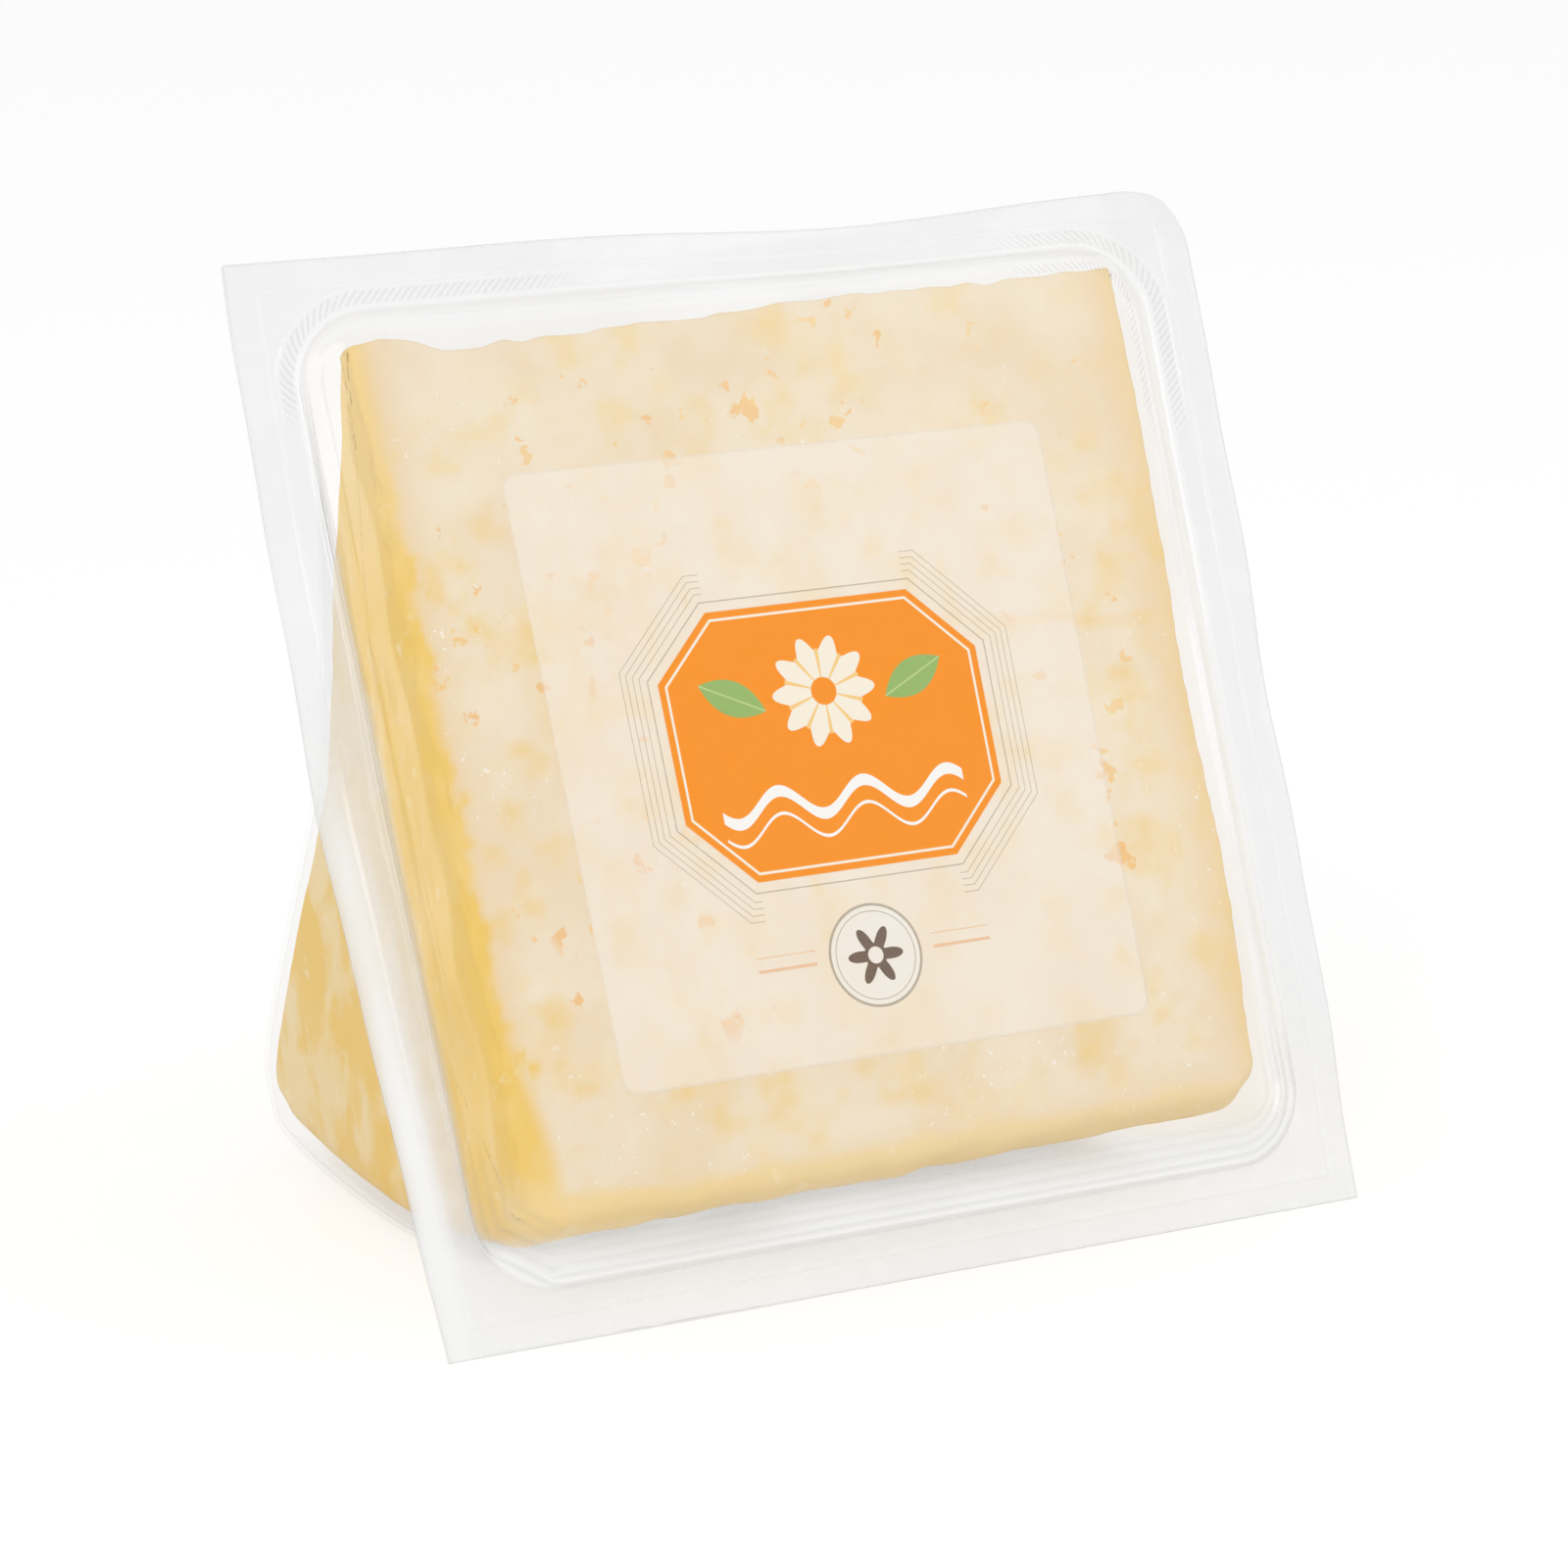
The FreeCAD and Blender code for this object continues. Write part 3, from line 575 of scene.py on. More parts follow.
# %% The lid as one closed shell
lid_rows, lid_columns = ACROSS.shape
lid_count = lid_rows * lid_columns
lid_front, lid_back = lid_sheet(LID_WALL), lid_sheet(0.0)
lid_points = np.concatenate([lid_front.reshape(-1, 3), lid_back.reshape(-1, 3)])
lid_quads = np.concatenate(
    [
        grid_quads(lid_rows, lid_columns, False, 0, True),
        grid_quads(lid_rows, lid_columns, False, lid_count, False),
        rim_quads(
            outline_numbers(lid_rows, lid_columns, lid_count),
            outline_numbers(lid_rows, lid_columns, 0),
        ),
    ]
)
lid_fields = {
    "haze": haze_of_lid(ACROSS, UP),
    "cream": cream_of_lid(ACROSS, UP),
    "white": white_of_lid(ACROSS, UP),
    "ribbed": tool_marks(ACROSS, UP)[3],
    "turns": rib_turns(ACROSS, UP),
    "dark_line": dark_lines(ACROSS, UP),
}
lid_values = {key: np.tile(field.ravel(), 2) for key, field in lid_fields.items()}
lid = make_piece("lid_sheet_film", lid_points, lid_quads, lid_values)
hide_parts("lid_film")

# %% [markdown]
# ## The formed pocket
# The pocket was drawn from flat film into a wedge-shaped mould.  Seen from
# the front, every slice of it is a rectangle with round corners, so it is a
# stack of such outlines: from the cut edge of the flange to the mouth, down
# a small step, along the flaring wall to the cheese, and to the rear edge.

# %% The outline of one slice
AROUND = 440


def round_outline(half, low, high, corner_low, corner_high, around=AROUND):
    """Points round a rectangle with round corners, all rows at once.

    A place between 0 and 1 walks each side and each quarter circle in turn,
    in the same share for every row, so rows line up from slice to slice.
    """
    half, low, high, corner_low, corner_high = np.broadcast_arrays(
        *[np.asarray(x, float)[..., None] for x in (half, low, high, corner_low, corner_high)]
    )
    shares = np.array([0.20, 0.05, 0.20, 0.05, 0.20, 0.05, 0.20, 0.05])
    stops = np.concatenate([[0], np.cumsum(shares)])
    place = np.arange(around) / around
    across = np.zeros(half.shape[:-1] + (around,))
    up = np.zeros_like(across)
    sides = (
        (-1, low, corner_low, 1, low, corner_low, "x"),
        (1, low, corner_low, 1, high, corner_high, "y"),
        (1, high, corner_high, -1, high, corner_high, "x"),
        (-1, high, corner_high, -1, low, corner_low, "y"),
    )
    for number, (sx0, z0, r0, sx1, z1, r1, axis) in enumerate(sides):
        t = (place - stops[2 * number]) / shares[2 * number]
        on_side = (t >= 0) & (t < 1)
        if axis == "x":
            start, end = sx0 * (half - r0), sx1 * (half - r1)
            xs, ys = start + (end - start) * t, z0 + 0 * t
        else:
            inner0 = z0 + r0 if z0 is low else z0 - r0
            inner1 = z1 - r1 if z1 is high else z1 + r1
            xs, ys = sx0 * half + 0 * t, inner0 + (inner1 - inner0) * t
        across = np.where(on_side, xs, across)
        up = np.where(on_side, ys, up)
        t = (place - stops[2 * number + 1]) / shares[2 * number + 1]
        on_corner = (t >= 0) & (t < 1)
        first_angle = (-0.5 + 0.5 * number) * np.pi
        angle = first_angle + t * np.pi / 2
        centre_x = sx1 * (half - r1)
        centre_y = z1 + r1 if z1 is low else z1 - r1
        across = np.where(on_corner, centre_x + r1 * np.cos(angle), across)
        up = np.where(on_corner, centre_y + r1 * np.sin(angle), up)
    return across, up


print("points in a row of the pocket:", AROUND)

# %% [markdown]
# ## From the flange to the rear edge
# A film pocket could be a solid with its inside cut away, but its wall is so
# thin that two sheets of points are simpler: the outer one a wall's width
# from the inner one, joined along the cut edge.  A little slack in the sheets
# keeps their gloss from looking like glass.

# %% The wall of the pocket
STEP_DEPTH, STEP_LEDGE, FLARE_DEPTH = 1.2, 1.1, 20.0
POCKET_WALL, FILM_OFF = 0.3, 0.7
END_LENGTH = 4.0


def film_profile(offset):
    """Lower and upper side of the film against depth, in the side view.

    It is the sector of the hanging film, widened by the offset and split at
    its deepest point.
    """
    down, deep = settle(*sector_outline(HANG_RADIUS + offset), 0.4)
    up = APEX_UP - down
    deep = deep - FACE_PROUD
    up = up + (offset - 0.1) / math.sin(SLICE_ANGLE) * smooth_step(0, 8, deep) * (
        np.arange(len(up)) > np.argmax(deep)
    )
    end = int(np.argmax(deep))
    return deep[: end + 1], up[: end + 1], deep[end:][::-1], up[end:][::-1]


def pocket_slices(offset, depths):
    """Half width, low, high and corner sizes of the wall at given depths.

    Deep down it follows the slice; near the mouth the film spans freely
    outwards, by the square of the share of the flare depth that is left.
    """
    low_deep, low_up, high_deep, high_up = film_profile(offset)
    free = np.maximum(0, 1 - (depths - STEP_DEPTH) / FLARE_DEPTH) ** 2
    low = np.interp(depths, low_deep, low_up)
    high = np.interp(depths, high_deep, high_up)
    mouth_low = RIM_INSET + STEP_LEDGE + FILM_OFF - offset
    mouth_high = PACK_TALL - RIM_INSET - STEP_LEDGE - FILM_OFF + offset
    mouth_half = PACK_WIDE / 2 - RIM_INSET - STEP_LEDGE - FILM_OFF + offset
    low = low + free * (mouth_low - np.interp(STEP_DEPTH, low_deep, low_up))
    high = high + free * (mouth_high - np.interp(STEP_DEPTH, high_deep, high_up))
    closing = np.clip((depths - depths[-1] + END_LENGTH) / END_LENGTH, 0, 1)
    wrapped_half = WHEEL_HEIGHT / 2 + offset - 0.1
    half = wrapped_half + free * (mouth_half - wrapped_half)
    half = half - 3.0 * (1 - np.sqrt(1 - 0.96 * closing**2))
    tall = high - low
    mouth_round = RIM_ROUND - STEP_LEDGE
    corner_low = np.minimum(4.5 + free * (mouth_round - 4.5), 0.45 * tall)
    corner_high = np.minimum(1.2 + free * (mouth_round - 1.2), 0.45 * tall)
    return half, low, high, corner_low, corner_high


def pocket_sheet(offset, back):
    """All rows of one side of the pocket film, from flange to rear edge.

    `offset` is the distance from the cheese and `back` how far behind the
    lid the flange lies.
    """
    edge_rows = np.linspace(0, 1, 22)
    inset = RIM_INSET * edge_rows + (FILM_OFF - offset) * edge_rows
    corner = 0.4 + (RIM_ROUND - 0.4) * edge_rows**1.5
    flange_x, flange_y = round_outline(
        PACK_WIDE / 2 - inset, inset, PACK_TALL - inset, corner, corner
    )
    flange_d = np.full_like(flange_x, back)
    step_share = np.linspace(0, 1, 6)[1:]
    step_inset = RIM_INSET + (FILM_OFF - offset) + 0.25 * step_share
    step_x, step_y = round_outline(
        PACK_WIDE / 2 - step_inset,
        step_inset,
        PACK_TALL - step_inset,
        RIM_ROUND,
        RIM_ROUND,
    )
    step_d = np.repeat((back + STEP_DEPTH * step_share)[:, None], AROUND, axis=1)
    deepest = film_profile(offset)[0][-1] - 0.06
    straight = np.linspace(STEP_DEPTH, deepest - END_LENGTH, 70, endpoint=False)
    rounding = deepest - END_LENGTH * (1 - np.sin(np.linspace(0, np.pi / 2, 12)))
    depths = np.concatenate([straight, rounding])
    wall_x, wall_y = round_outline(*pocket_slices(offset, depths))
    wall_d = np.repeat((depths + back)[:, None], AROUND, axis=1)
    across = np.concatenate([flange_x, step_x, wall_x])
    up = np.concatenate([flange_y, step_y, wall_y])
    deep = np.concatenate([flange_d, step_d, wall_d])
    down, behind_lid = APEX_UP - up, deep + FACE_PROUD
    _, _, before_rear, along_rear = slice_place(down, behind_lid)
    left_share = 0.6 - 0.6 * smooth_step(0.0, 0.6, across / WHEEL_HEIGHT + 0.5)
    sink = HOLLOW_DEEP * left_share * bell(along_rear - HOLLOW_PLACE, HOLLOW_WIDE)
    sink = sink * bell(before_rear, PRESS_DEPTH)
    sink = sink * smooth_step(6.0, 16.0, deep)
    up = up - sink * math.sin(SLICE_ANGLE)
    deep = deep - sink * math.cos(SLICE_ANGLE)
    shift_x, shift_y = flange_pull(across, up)
    on_flange = smooth_step(0.9, 0.2, deep)
    bend = flange_bend(across, up) * smooth_step(4.0, 0.3, deep)
    return np.stack(
        [across + shift_x * on_flange, up + shift_y * on_flange, deep + bend], axis=-1
    )


def slack(points, strength):
    """Push the wall in and out a little: film between contacts is slack."""
    deep = points[..., 2]
    amount = strength * smooth_step(2.0, 9.0, deep)
    wave = smooth_noise(points * np.array([1, 1, 0.45]), 7.0, 5)
    middle = np.array([0.0, 60.0, 20.0])
    outward = points - middle
    outward = outward / np.linalg.norm(outward, axis=-1, keepdims=True)
    return points + outward * (amount * wave)[..., None]


def clear_of_table(points, least):
    """Move points straight up the lid until they are clear of the table."""
    height = points[..., 1] * math.cos(LEAN) - points[..., 2] * math.sin(LEAN) + STAND_UP
    raised = np.maximum(least - height, 0) / math.cos(LEAN)
    return points + raised[..., None] * [0, 1, 0]


SLACK, TABLE_GAP = 0.16, 0.02
pocket_outer = slack(pocket_sheet(FILM_OFF, TABLE_GAP + POCKET_WALL), SLACK)
pocket_inner = slack(pocket_sheet(FILM_OFF - POCKET_WALL, TABLE_GAP), SLACK)
pocket_outer = clear_of_table(pocket_outer, TABLE_GAP)
pocket_inner = clear_of_table(pocket_inner, TABLE_GAP + POCKET_WALL)
pocket_rows = pocket_outer.shape[0]
pocket_count = pocket_rows * AROUND
first_row = np.arange(AROUND)
pocket_points = np.concatenate(
    [pocket_outer.reshape(-1, 3), pocket_inner.reshape(-1, 3)]
)


def end_cap(first, flip):
    """Close the narrow last row: pair each low point with the one above it.

    Point i pairs with point 308 - i of the 440 round the row; at both ends
    a pair meets in one point, which leaves a triangle.
    """
    ring = first + (pocket_rows - 1) * AROUND
    mirror = round(0.70 * AROUND)
    low = np.arange(mirror // 2 - AROUND // 2 + 1, mirror // 2)
    strip = np.stack([low[:-1], low[1:], mirror - low[1:], mirror - low[:-1]], -1)
    ends = np.array(
        [
            [low[0] - 1, low[0], mirror - low[0]],
            [low[-1], low[-1] + 1, mirror - low[-1]],
        ]
    )
    strip, ends = ring + strip % AROUND, ring + ends % AROUND
    return (strip[:, ::-1], ends[:, ::-1]) if flip else (strip, ends)


outer_cap, outer_ends = end_cap(0, False)
inner_cap, inner_ends = end_cap(pocket_count, True)
pocket_quads = np.concatenate(
    [
        grid_quads(pocket_rows, AROUND, True, 0, True),
        grid_quads(pocket_rows, AROUND, True, pocket_count, False),
        rim_quads(first_row + pocket_count, first_row),
        outer_cap,
        inner_cap,
    ]
)


def haze_of_pocket(points):
    """Milky in the sealed margin and where the film spans free of cheese."""
    deep, up = points[..., 2], points[..., 1]
    sealed = smooth_step(1.6, 0.4, deep)
    span = smooth_step(STEP_DEPTH + FLARE_DEPTH * 0.75, STEP_DEPTH, deep)
    # painted light: near the bottom the wall is milkier, to cover the shade in the gap under the
    # cheese
    under = smooth_step(14, 8, up) * smooth_step(60, 30, deep)
    patches = 0.5 + 0.5 * smooth_noise(points, 13.0, 8)
    spanning = (0.10 + 0.12 * patches) * span * (1 - sealed)
    return 0.04 + 0.20 * sealed + spanning + 0.12 * under * (1 - sealed)


pocket_haze = np.concatenate(
    [haze_of_pocket(pocket_outer).ravel(), haze_of_pocket(pocket_inner).ravel()]
)
pocket = make_piece(
    "formed_pocket_film",
    pocket_points,
    pocket_quads,
    {
        "haze": pocket_haze,
        "cream": 0.6 * (pocket_points[:, 2] > 2.0),
        # whiter near the bottom: painted light over the gap under the cheese
        "white": smooth_step(14, 8, pocket_points[:, 1]),
    },
    np.concatenate([outer_ends, inner_ends]),
)
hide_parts("pocket_film")

# %% [markdown]
# ## The cheese
# A slice of a wheel has four kinds of skin: two cut faces, the curved side
# and the two flat faces of the wheel.  The sector is carried across the
# wheel's height, it shrinks round the shoulders in quarter circles, and
# smaller and smaller copies of it close both flat faces.  That gives one
# closed grid of rows.

# %% The block: the sector carried across the wheel's height
CAP_RINGS, EDGE_ROWS, TUBE_ROWS = 50, 9, 132
RIND_SHOULDER, CUT_SHOULDER = 4.5, 0.8

sector_count = len(outline_down)
step_down = np.roll(outline_down, -1) - np.roll(outline_down, 1)
step_deep = np.roll(outline_deep, -1) - np.roll(outline_deep, 1)
step_length = np.hypot(step_down, step_deep)
normal_down, normal_deep = step_deep / step_length, -step_down / step_length
outline_reach = np.hypot(outline_down, outline_deep)
shoulder = CUT_SHOULDER + (RIND_SHOULDER - CUT_SHOULDER) * smooth_step(
    WHEEL_RADIUS - 6.0, WHEEL_RADIUS - 0.5, outline_reach
)
quarter = np.linspace(0, np.pi / 2, EDGE_ROWS)
row_turn = np.concatenate(
    [
        np.zeros(CAP_RINGS),
        quarter,
        np.full(TUBE_ROWS, np.pi / 2),
        quarter[::-1],
        np.zeros(CAP_RINGS),
    ]
)[:, None]
ring_share = np.linspace(0.015, 1, CAP_RINGS, endpoint=False)
row_scale = np.concatenate(
    [ring_share, np.ones(2 * EDGE_ROWS + TUBE_ROWS), ring_share[::-1]]
)[:, None]
row_side = np.concatenate(
    [
        np.full(CAP_RINGS + EDGE_ROWS, -1.0),
        np.linspace(-1, 1, TUBE_ROWS + 2)[1:-1],
        np.full(CAP_RINGS + EDGE_ROWS, 1.0),
    ]
)[:, None]
inset = shoulder * (1 - np.sin(row_turn))
block_across = row_side * (WHEEL_HEIGHT / 2 - shoulder * (1 - np.cos(row_turn)))
ring_down = outline_down - normal_down * inset
ring_deep = outline_deep - normal_deep * inset
centre_down = 0.64 * WHEEL_RADIUS * math.cos(SLICE_ANGLE / 2)
centre_deep = 0.64 * WHEEL_RADIUS * math.sin(SLICE_ANGLE / 2)
block_down = centre_down + (ring_down - centre_down) * row_scale
block_deep = centre_deep + (ring_deep - centre_deep) * row_scale
print("cheese grid:", block_down.shape)

# %% [markdown]
# ## Where the knife and the curd left their marks
# The slice sags a little out of true, its thin edge has crumbled in one
# place, its sharp edges are ragged, and every face is slightly uneven.

# %% Sag, crumbled edge and uneven faces
share_right = block_across / WHEEL_HEIGHT + 0.5
from_side = WHEEL_HEIGHT / 2 - np.abs(block_across)
from_rind = WHEEL_RADIUS - np.hypot(block_down, block_deep)
from_thin_edge = np.hypot(block_down, block_deep)
from_rear = from_thin_edge * np.sin(SLICE_ANGLE - np.arctan2(block_deep, block_down))
raw = np.stack([block_across, block_down, block_deep], axis=-1)

down, deep = settle(block_down, block_deep, 1.0 - 0.6 * smooth_step(0.0, 0.6, share_right))
lift = 1.0 + 0.9 * smooth_step(0.1, 1.0, share_right)
for height, place, width in ((0.7, -39, 3.5), (-1.2, -33, 5.0), (-0.8, -22, 9.0), (-0.5, -8, 7.0)):
    lift = lift + height * bell(block_across - place, width)
lift = lift + 0.35 * smooth_noise(raw, 2.3, 30) + 0.3 * smooth_noise(raw, 6.0, 31)
down = down - lift * bell(from_thin_edge, 9.0)
lower_lift = 1.7 * share_right + 0.35 * smooth_noise(raw, 4.0, 32) - 0.2
down = down - lower_lift * bell(from_rind, 7.0) * smooth_step(30, 8, deep)
bulge = 1.2 * bell(block_down - 18, 26) + 1.1 * bell(block_down - 66, 15)
side_bulge = bulge * smooth_step(0.80, 1.0, share_right) * smooth_step(26, 0, deep)
across = block_across + side_bulge

cap_share = np.cos(row_turn)
outward = np.stack(
    [
        row_side * cap_share * np.ones(sector_count),
        normal_down * np.sin(row_turn),
        normal_deep * np.sin(row_turn),
    ],
    axis=-1,
)
uneven = 0.20 * (1 + smooth_noise(raw, 12.0, 33)) + 0.10 * (1 + smooth_noise(raw, 3.2, 34))
on_front = bell(block_deep, 1.0)
uneven = uneven * (1 - 0.65 * on_front)
edge_near = bell(np.hypot(block_deep, from_side), 1.6)
ragged = 0.9 * np.abs(smooth_noise(raw, 2.4, 35)) + 0.6 * np.abs(smooth_noise(raw, 5.5, 36))
ragged = ragged * (1 - 0.8 * smooth_step(0.4, 0.9, share_right))
ragged = ragged * smooth_step(1.0, 7.0, from_thin_edge)
cheese_lid = np.stack(
    [
        across - np.sign(row_side) * edge_near * ragged,
        APEX_UP - down,
        deep - FACE_PROUD + 0.5 * edge_near * ragged,
    ],
    axis=-1,
)
cheese_lid = cheese_lid - outward * uneven[..., None] * [1, -1, 1]
cheese_lid[..., 0] += WEDGE_SHIFT
print("the thin edge is lifted by up to", round(float(lift.max()), 1), "mm")

# %% [markdown]
# ## Where each colour goes
# The flat faces are yellow, and the yellow spreads raggedly over the edges of
# the cut faces.  A texture alone can't know where an edge is, so these places
# are worked out here, point by point, and stored on the mesh as numbers from
# 0 to 1 that the material reads.

# %% Masks for colour, and the finished mesh
tooth = smooth_noise(raw, 3.4, 41) + 0.6 * smooth_noise(raw, 1.5, 42)
tooth = tooth + 0.3 * smooth_noise(raw, 0.8, 44)
from_cut = np.minimum(block_deep, from_rear)
rind_mask = smooth_step(-0.6, 2.6, from_cut + 0.9 * tooth)
left_half = smooth_step(0.6, 0.3, share_right)
corner_spread = 3.2 * smooth_step(66, 91, block_down) * left_half
side_teeth = from_side - 0.5 - (0.5 + 2.2 * left_half) * np.clip(tooth, 0, 1) - corner_spread
edge_rind = smooth_step(2.6, -0.4, side_teeth) * (0.3 + 0.7 * left_half)
rind_mask = np.maximum(rind_mask, edge_rind)
band_start = WHEEL_RADIUS - FRONT_ROUND - 0.3 - 1.5 * smooth_step(0.2, 0.0, share_right)
lower_band = smooth_step(-0.6, 0.9, block_down - band_start + 0.6 * tooth)
lower_band = lower_band * (0.85 - 0.35 * share_right) * smooth_step(8, 4, block_deep)
thinned = np.minimum(rind_mask, 1 - 0.3 * smooth_step(6, 2, block_deep) * share_right)
rind_mask = np.where(block_down > band_start - 2, thinned, rind_mask)
rind_mask = np.maximum(rind_mask, lower_band)
near_rind = np.minimum(from_side, from_rind)
strip = smooth_step(17, 8, block_deep)
pale = 0.6 * smooth_step(32, 10, block_down)
pale_band = smooth_step(85, 90, block_down) * smooth_step(8, 4, block_deep)
pale = np.maximum(pale, (0.66 + 0.24 * share_right) * pale_band)
crack_down = 36.0 + 0.10 * (block_across - 20) + 0.5 * smooth_noise(raw, 6.0, 43)
crack = bell(block_down - crack_down, 0.55) * smooth_step(12, 20, block_across)
crack = crack * smooth_step(45, 41, block_across) * bell(block_deep, 2.0)
CROWDS = (
    (1.0, -24, 17, 30, 19),
    (0.55, 10, 20, 11, 8),
    (0.45, 35, 8, 45, 22),
    (0.4, -26, 14, 62, 12),
)
crowd = sum(
    strength * bell(block_across - place, wide) * bell(block_down - low, tall)
    for strength, place, wide, low, tall in CROWDS
)
cheese_rows = cheese_lid.shape[0]
cheese_points = cheese_lid.reshape(-1, 3)
pole_left = cheese_lid[0].mean(axis=0)
pole_right = cheese_lid[-1].mean(axis=0)
cheese_points = np.concatenate([cheese_points, [pole_left], [pole_right]])
ring = np.arange(sector_count)
last = (cheese_rows - 1) * sector_count + ring


def pole_fan(pole, first, second):
    """Triangles from one pole to each step of a closed ring."""
    return np.stack([np.full(len(first), pole), first, second], axis=-1)


pole_faces = np.concatenate(
    [
        pole_fan(len(cheese_points) - 2, ring, np.roll(ring, -1)),
        pole_fan(len(cheese_points) - 1, np.roll(last, -1), last),
    ]
)


def with_poles(values):
    """Add the two pole values to a grid of values."""
    return np.concatenate([values.ravel(), [values[0].mean(), values[-1].mean()]])


cheese_quads = grid_quads(cheese_rows, sector_count, True)
cheese = make_piece(
    "cheese_slice",
    cheese_points,
    cheese_quads,
    {
        "rind": with_poles(rind_mask),
        "rim": with_poles(np.clip(near_rind / 10.0, 0, 1)),
        "strip": with_poles(strip),
        "pale": with_poles(pale),
        "crowd": with_poles(np.clip(crowd, 0, 1)),
        "crack": with_poles(crack),
    },
    pole_faces,
)
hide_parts("cheese_wedge")

# %% [markdown]
# ## The label
# The label is a thin half-clear sticker on the lid, over the flat face.  It
# is a rounded rectangle drawn inwards ring by ring to its middle, front and
# back, and it carries its own map so that the print stays on it.

# %% The label's surface
LABEL_WIDE, LABEL_TALL = 63.7, 65.8
LABEL_SHIFT, LABEL_MIDDLE = 0.9, 56.3
LABEL_AROUND, LABEL_RINGS = 240, 60
label_x, label_y = round_outline(
    np.array([LABEL_WIDE / 2]),
    np.array([-LABEL_TALL / 2]),
    np.array([LABEL_TALL / 2]),
    np.array([1.6]),
    np.array([1.6]),
    LABEL_AROUND,
)
label_scale = np.linspace(1, 0.01, LABEL_RINGS)[:, None]
flat_x = label_x * label_scale
flat_y = label_y * label_scale
label_across = flat_x + LABEL_SHIFT
label_up = flat_y + LABEL_MIDDLE
label_base = -lid_forward(label_across, label_up) - LID_WALL
label_front = np.stack([label_across, label_up, label_base - 0.13], axis=-1)
label_back = np.stack([label_across, label_up, label_base - 0.04], axis=-1)
label_count = LABEL_RINGS * LABEL_AROUND
label_points = np.concatenate(
    [
        label_front.reshape(-1, 3),
        label_back.reshape(-1, 3),
        [label_front[-1].mean(axis=0)],
        [label_back[-1].mean(axis=0)],
    ]
)
label_quads = np.concatenate(
    [
        grid_quads(LABEL_RINGS, LABEL_AROUND, True, 0, True),
        grid_quads(LABEL_RINGS, LABEL_AROUND, True, label_count, False),
        rim_quads(label_count + np.arange(LABEL_AROUND), np.arange(LABEL_AROUND)),
    ]
)
inner_ring = (LABEL_RINGS - 1) * LABEL_AROUND + np.arange(LABEL_AROUND)
next_ring = np.roll(inner_ring, -1)
label_poles = np.concatenate(
    [
        pole_fan(2 * label_count, inner_ring, next_ring),
        pole_fan(2 * label_count + 1, next_ring + label_count, inner_ring + label_count),
    ]
)
print_x = np.concatenate([np.tile(flat_x.ravel(), 2), [0, 0]])
print_y = np.concatenate([np.tile(flat_y.ravel(), 2), [0, 0]])
label = make_piece(
    "clear_label",
    label_points,
    label_quads,
    {"print_x": print_x, "print_y": print_y},
    label_poles,
)
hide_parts("front_label")

# %% [markdown]
# ## A short way to write shader maths
# The finishes below are sums, products and steps of simple fields.  They
# could be wired by hand, node by node, but a small helper keeps each of them
# on one line instead of four.

# %% Shader helpers
class Shader:
    """Adds nodes to one node tree and wires them as they are made."""

    def __init__(self, tree):
        self.tree = tree

    def add(self, kind, inputs=None, **settings):
        """Make a node, set its options and feed its inputs."""
        node = self.tree.nodes.new(kind)
        for key, value in settings.items():
            setattr(node, key, value)
        for key, value in (inputs or {}).items():
            self.feed(node.inputs[key], value)
        return node

    def feed(self, socket, value):
        """Link an output to a socket, or set the socket's own value."""
        if isinstance(value, bpy.types.NodeSocket):
            self.tree.links.new(value, socket)
        else:
            socket.default_value = value

    def maths(self, operation, first, second=0.0, clamp=False):
        """One Math node; gives its output."""
        node = self.add("ShaderNodeMath", {0: first, 1: second}, operation=operation)
        node.use_clamp = clamp
        return node.outputs[0]

    def times(self, first, second):
        """The product of two values."""
        return self.maths("MULTIPLY", first, second)

    def plus(self, first, second):
        """The sum of two values."""
        return self.maths("ADD", first, second)

    def minus(self, first, second):
        """The first value less the second."""
        return self.maths("SUBTRACT", first, second)

    def most(self, first, second):
        """The larger of two values."""
        return self.maths("MAXIMUM", first, second)

    def rest(self, value):
        """What is left of 1 when the value is taken off."""
        return self.minus(1.0, value)

    def ramp(self, value, low, high, to_low=0.0, to_high=1.0):
        """Rise smoothly from one value to another between two limits."""
        node = self.add(
            "ShaderNodeMapRange",
            {0: value, 1: low, 2: high, 3: to_low, 4: to_high},
            interpolation_type="SMOOTHSTEP",
        )
        return node.outputs[0]

    def blend(self, share, first, second):
        """Mix two colours by a share between 0 and 1."""
        node = self.add("ShaderNodeMix", data_type="RGBA")
        self.feed(node.inputs["Factor"], share)
        self.feed(node.inputs["A"], first)
        self.feed(node.inputs["B"], second)
        return node.outputs["Result"]

    def attribute(self, name):
        """A number stored on the mesh."""
        return self.add("ShaderNodeAttribute", attribute_name=name).outputs["Fac"]

    def noise(self, vector, scale, detail=3.0, roughness=0.5, distortion=0.0):
        """Smooth noise between 0 and 1."""
        node = self.add(
            "ShaderNodeTexNoise",
            {
                "Vector": vector,
                "Scale": scale,
                "Detail": detail,
                "Roughness": roughness,
                "Distortion": distortion,
            },
        )
        return node.outputs["Fac"]

    def carries_light(self):
        """1 on rays that carry light to another surface, 0 on the rest."""
        path = self.add("ShaderNodeLightPath")
        return self.most(path.outputs["Is Shadow Ray"], path.outputs["Is Diffuse Ray"])

    def looked_at(self):
        """1 on rays of what is seen: straight, mirrored or through a film."""
        path = self.add("ShaderNodeLightPath")
        seen = self.most(path.outputs["Is Camera Ray"], path.outputs["Is Glossy Ray"])
        return self.most(seen, path.outputs["Is Transmission Ray"])


def new_material(name):
    """An empty node material with its output, and a helper for its tree."""
    material = bpy.data.materials.new(name)
    material.use_nodes = True
    material.node_tree.nodes.clear()
    shader = Shader(material.node_tree)
    output = shader.add("ShaderNodeOutputMaterial")
    return material, shader, output


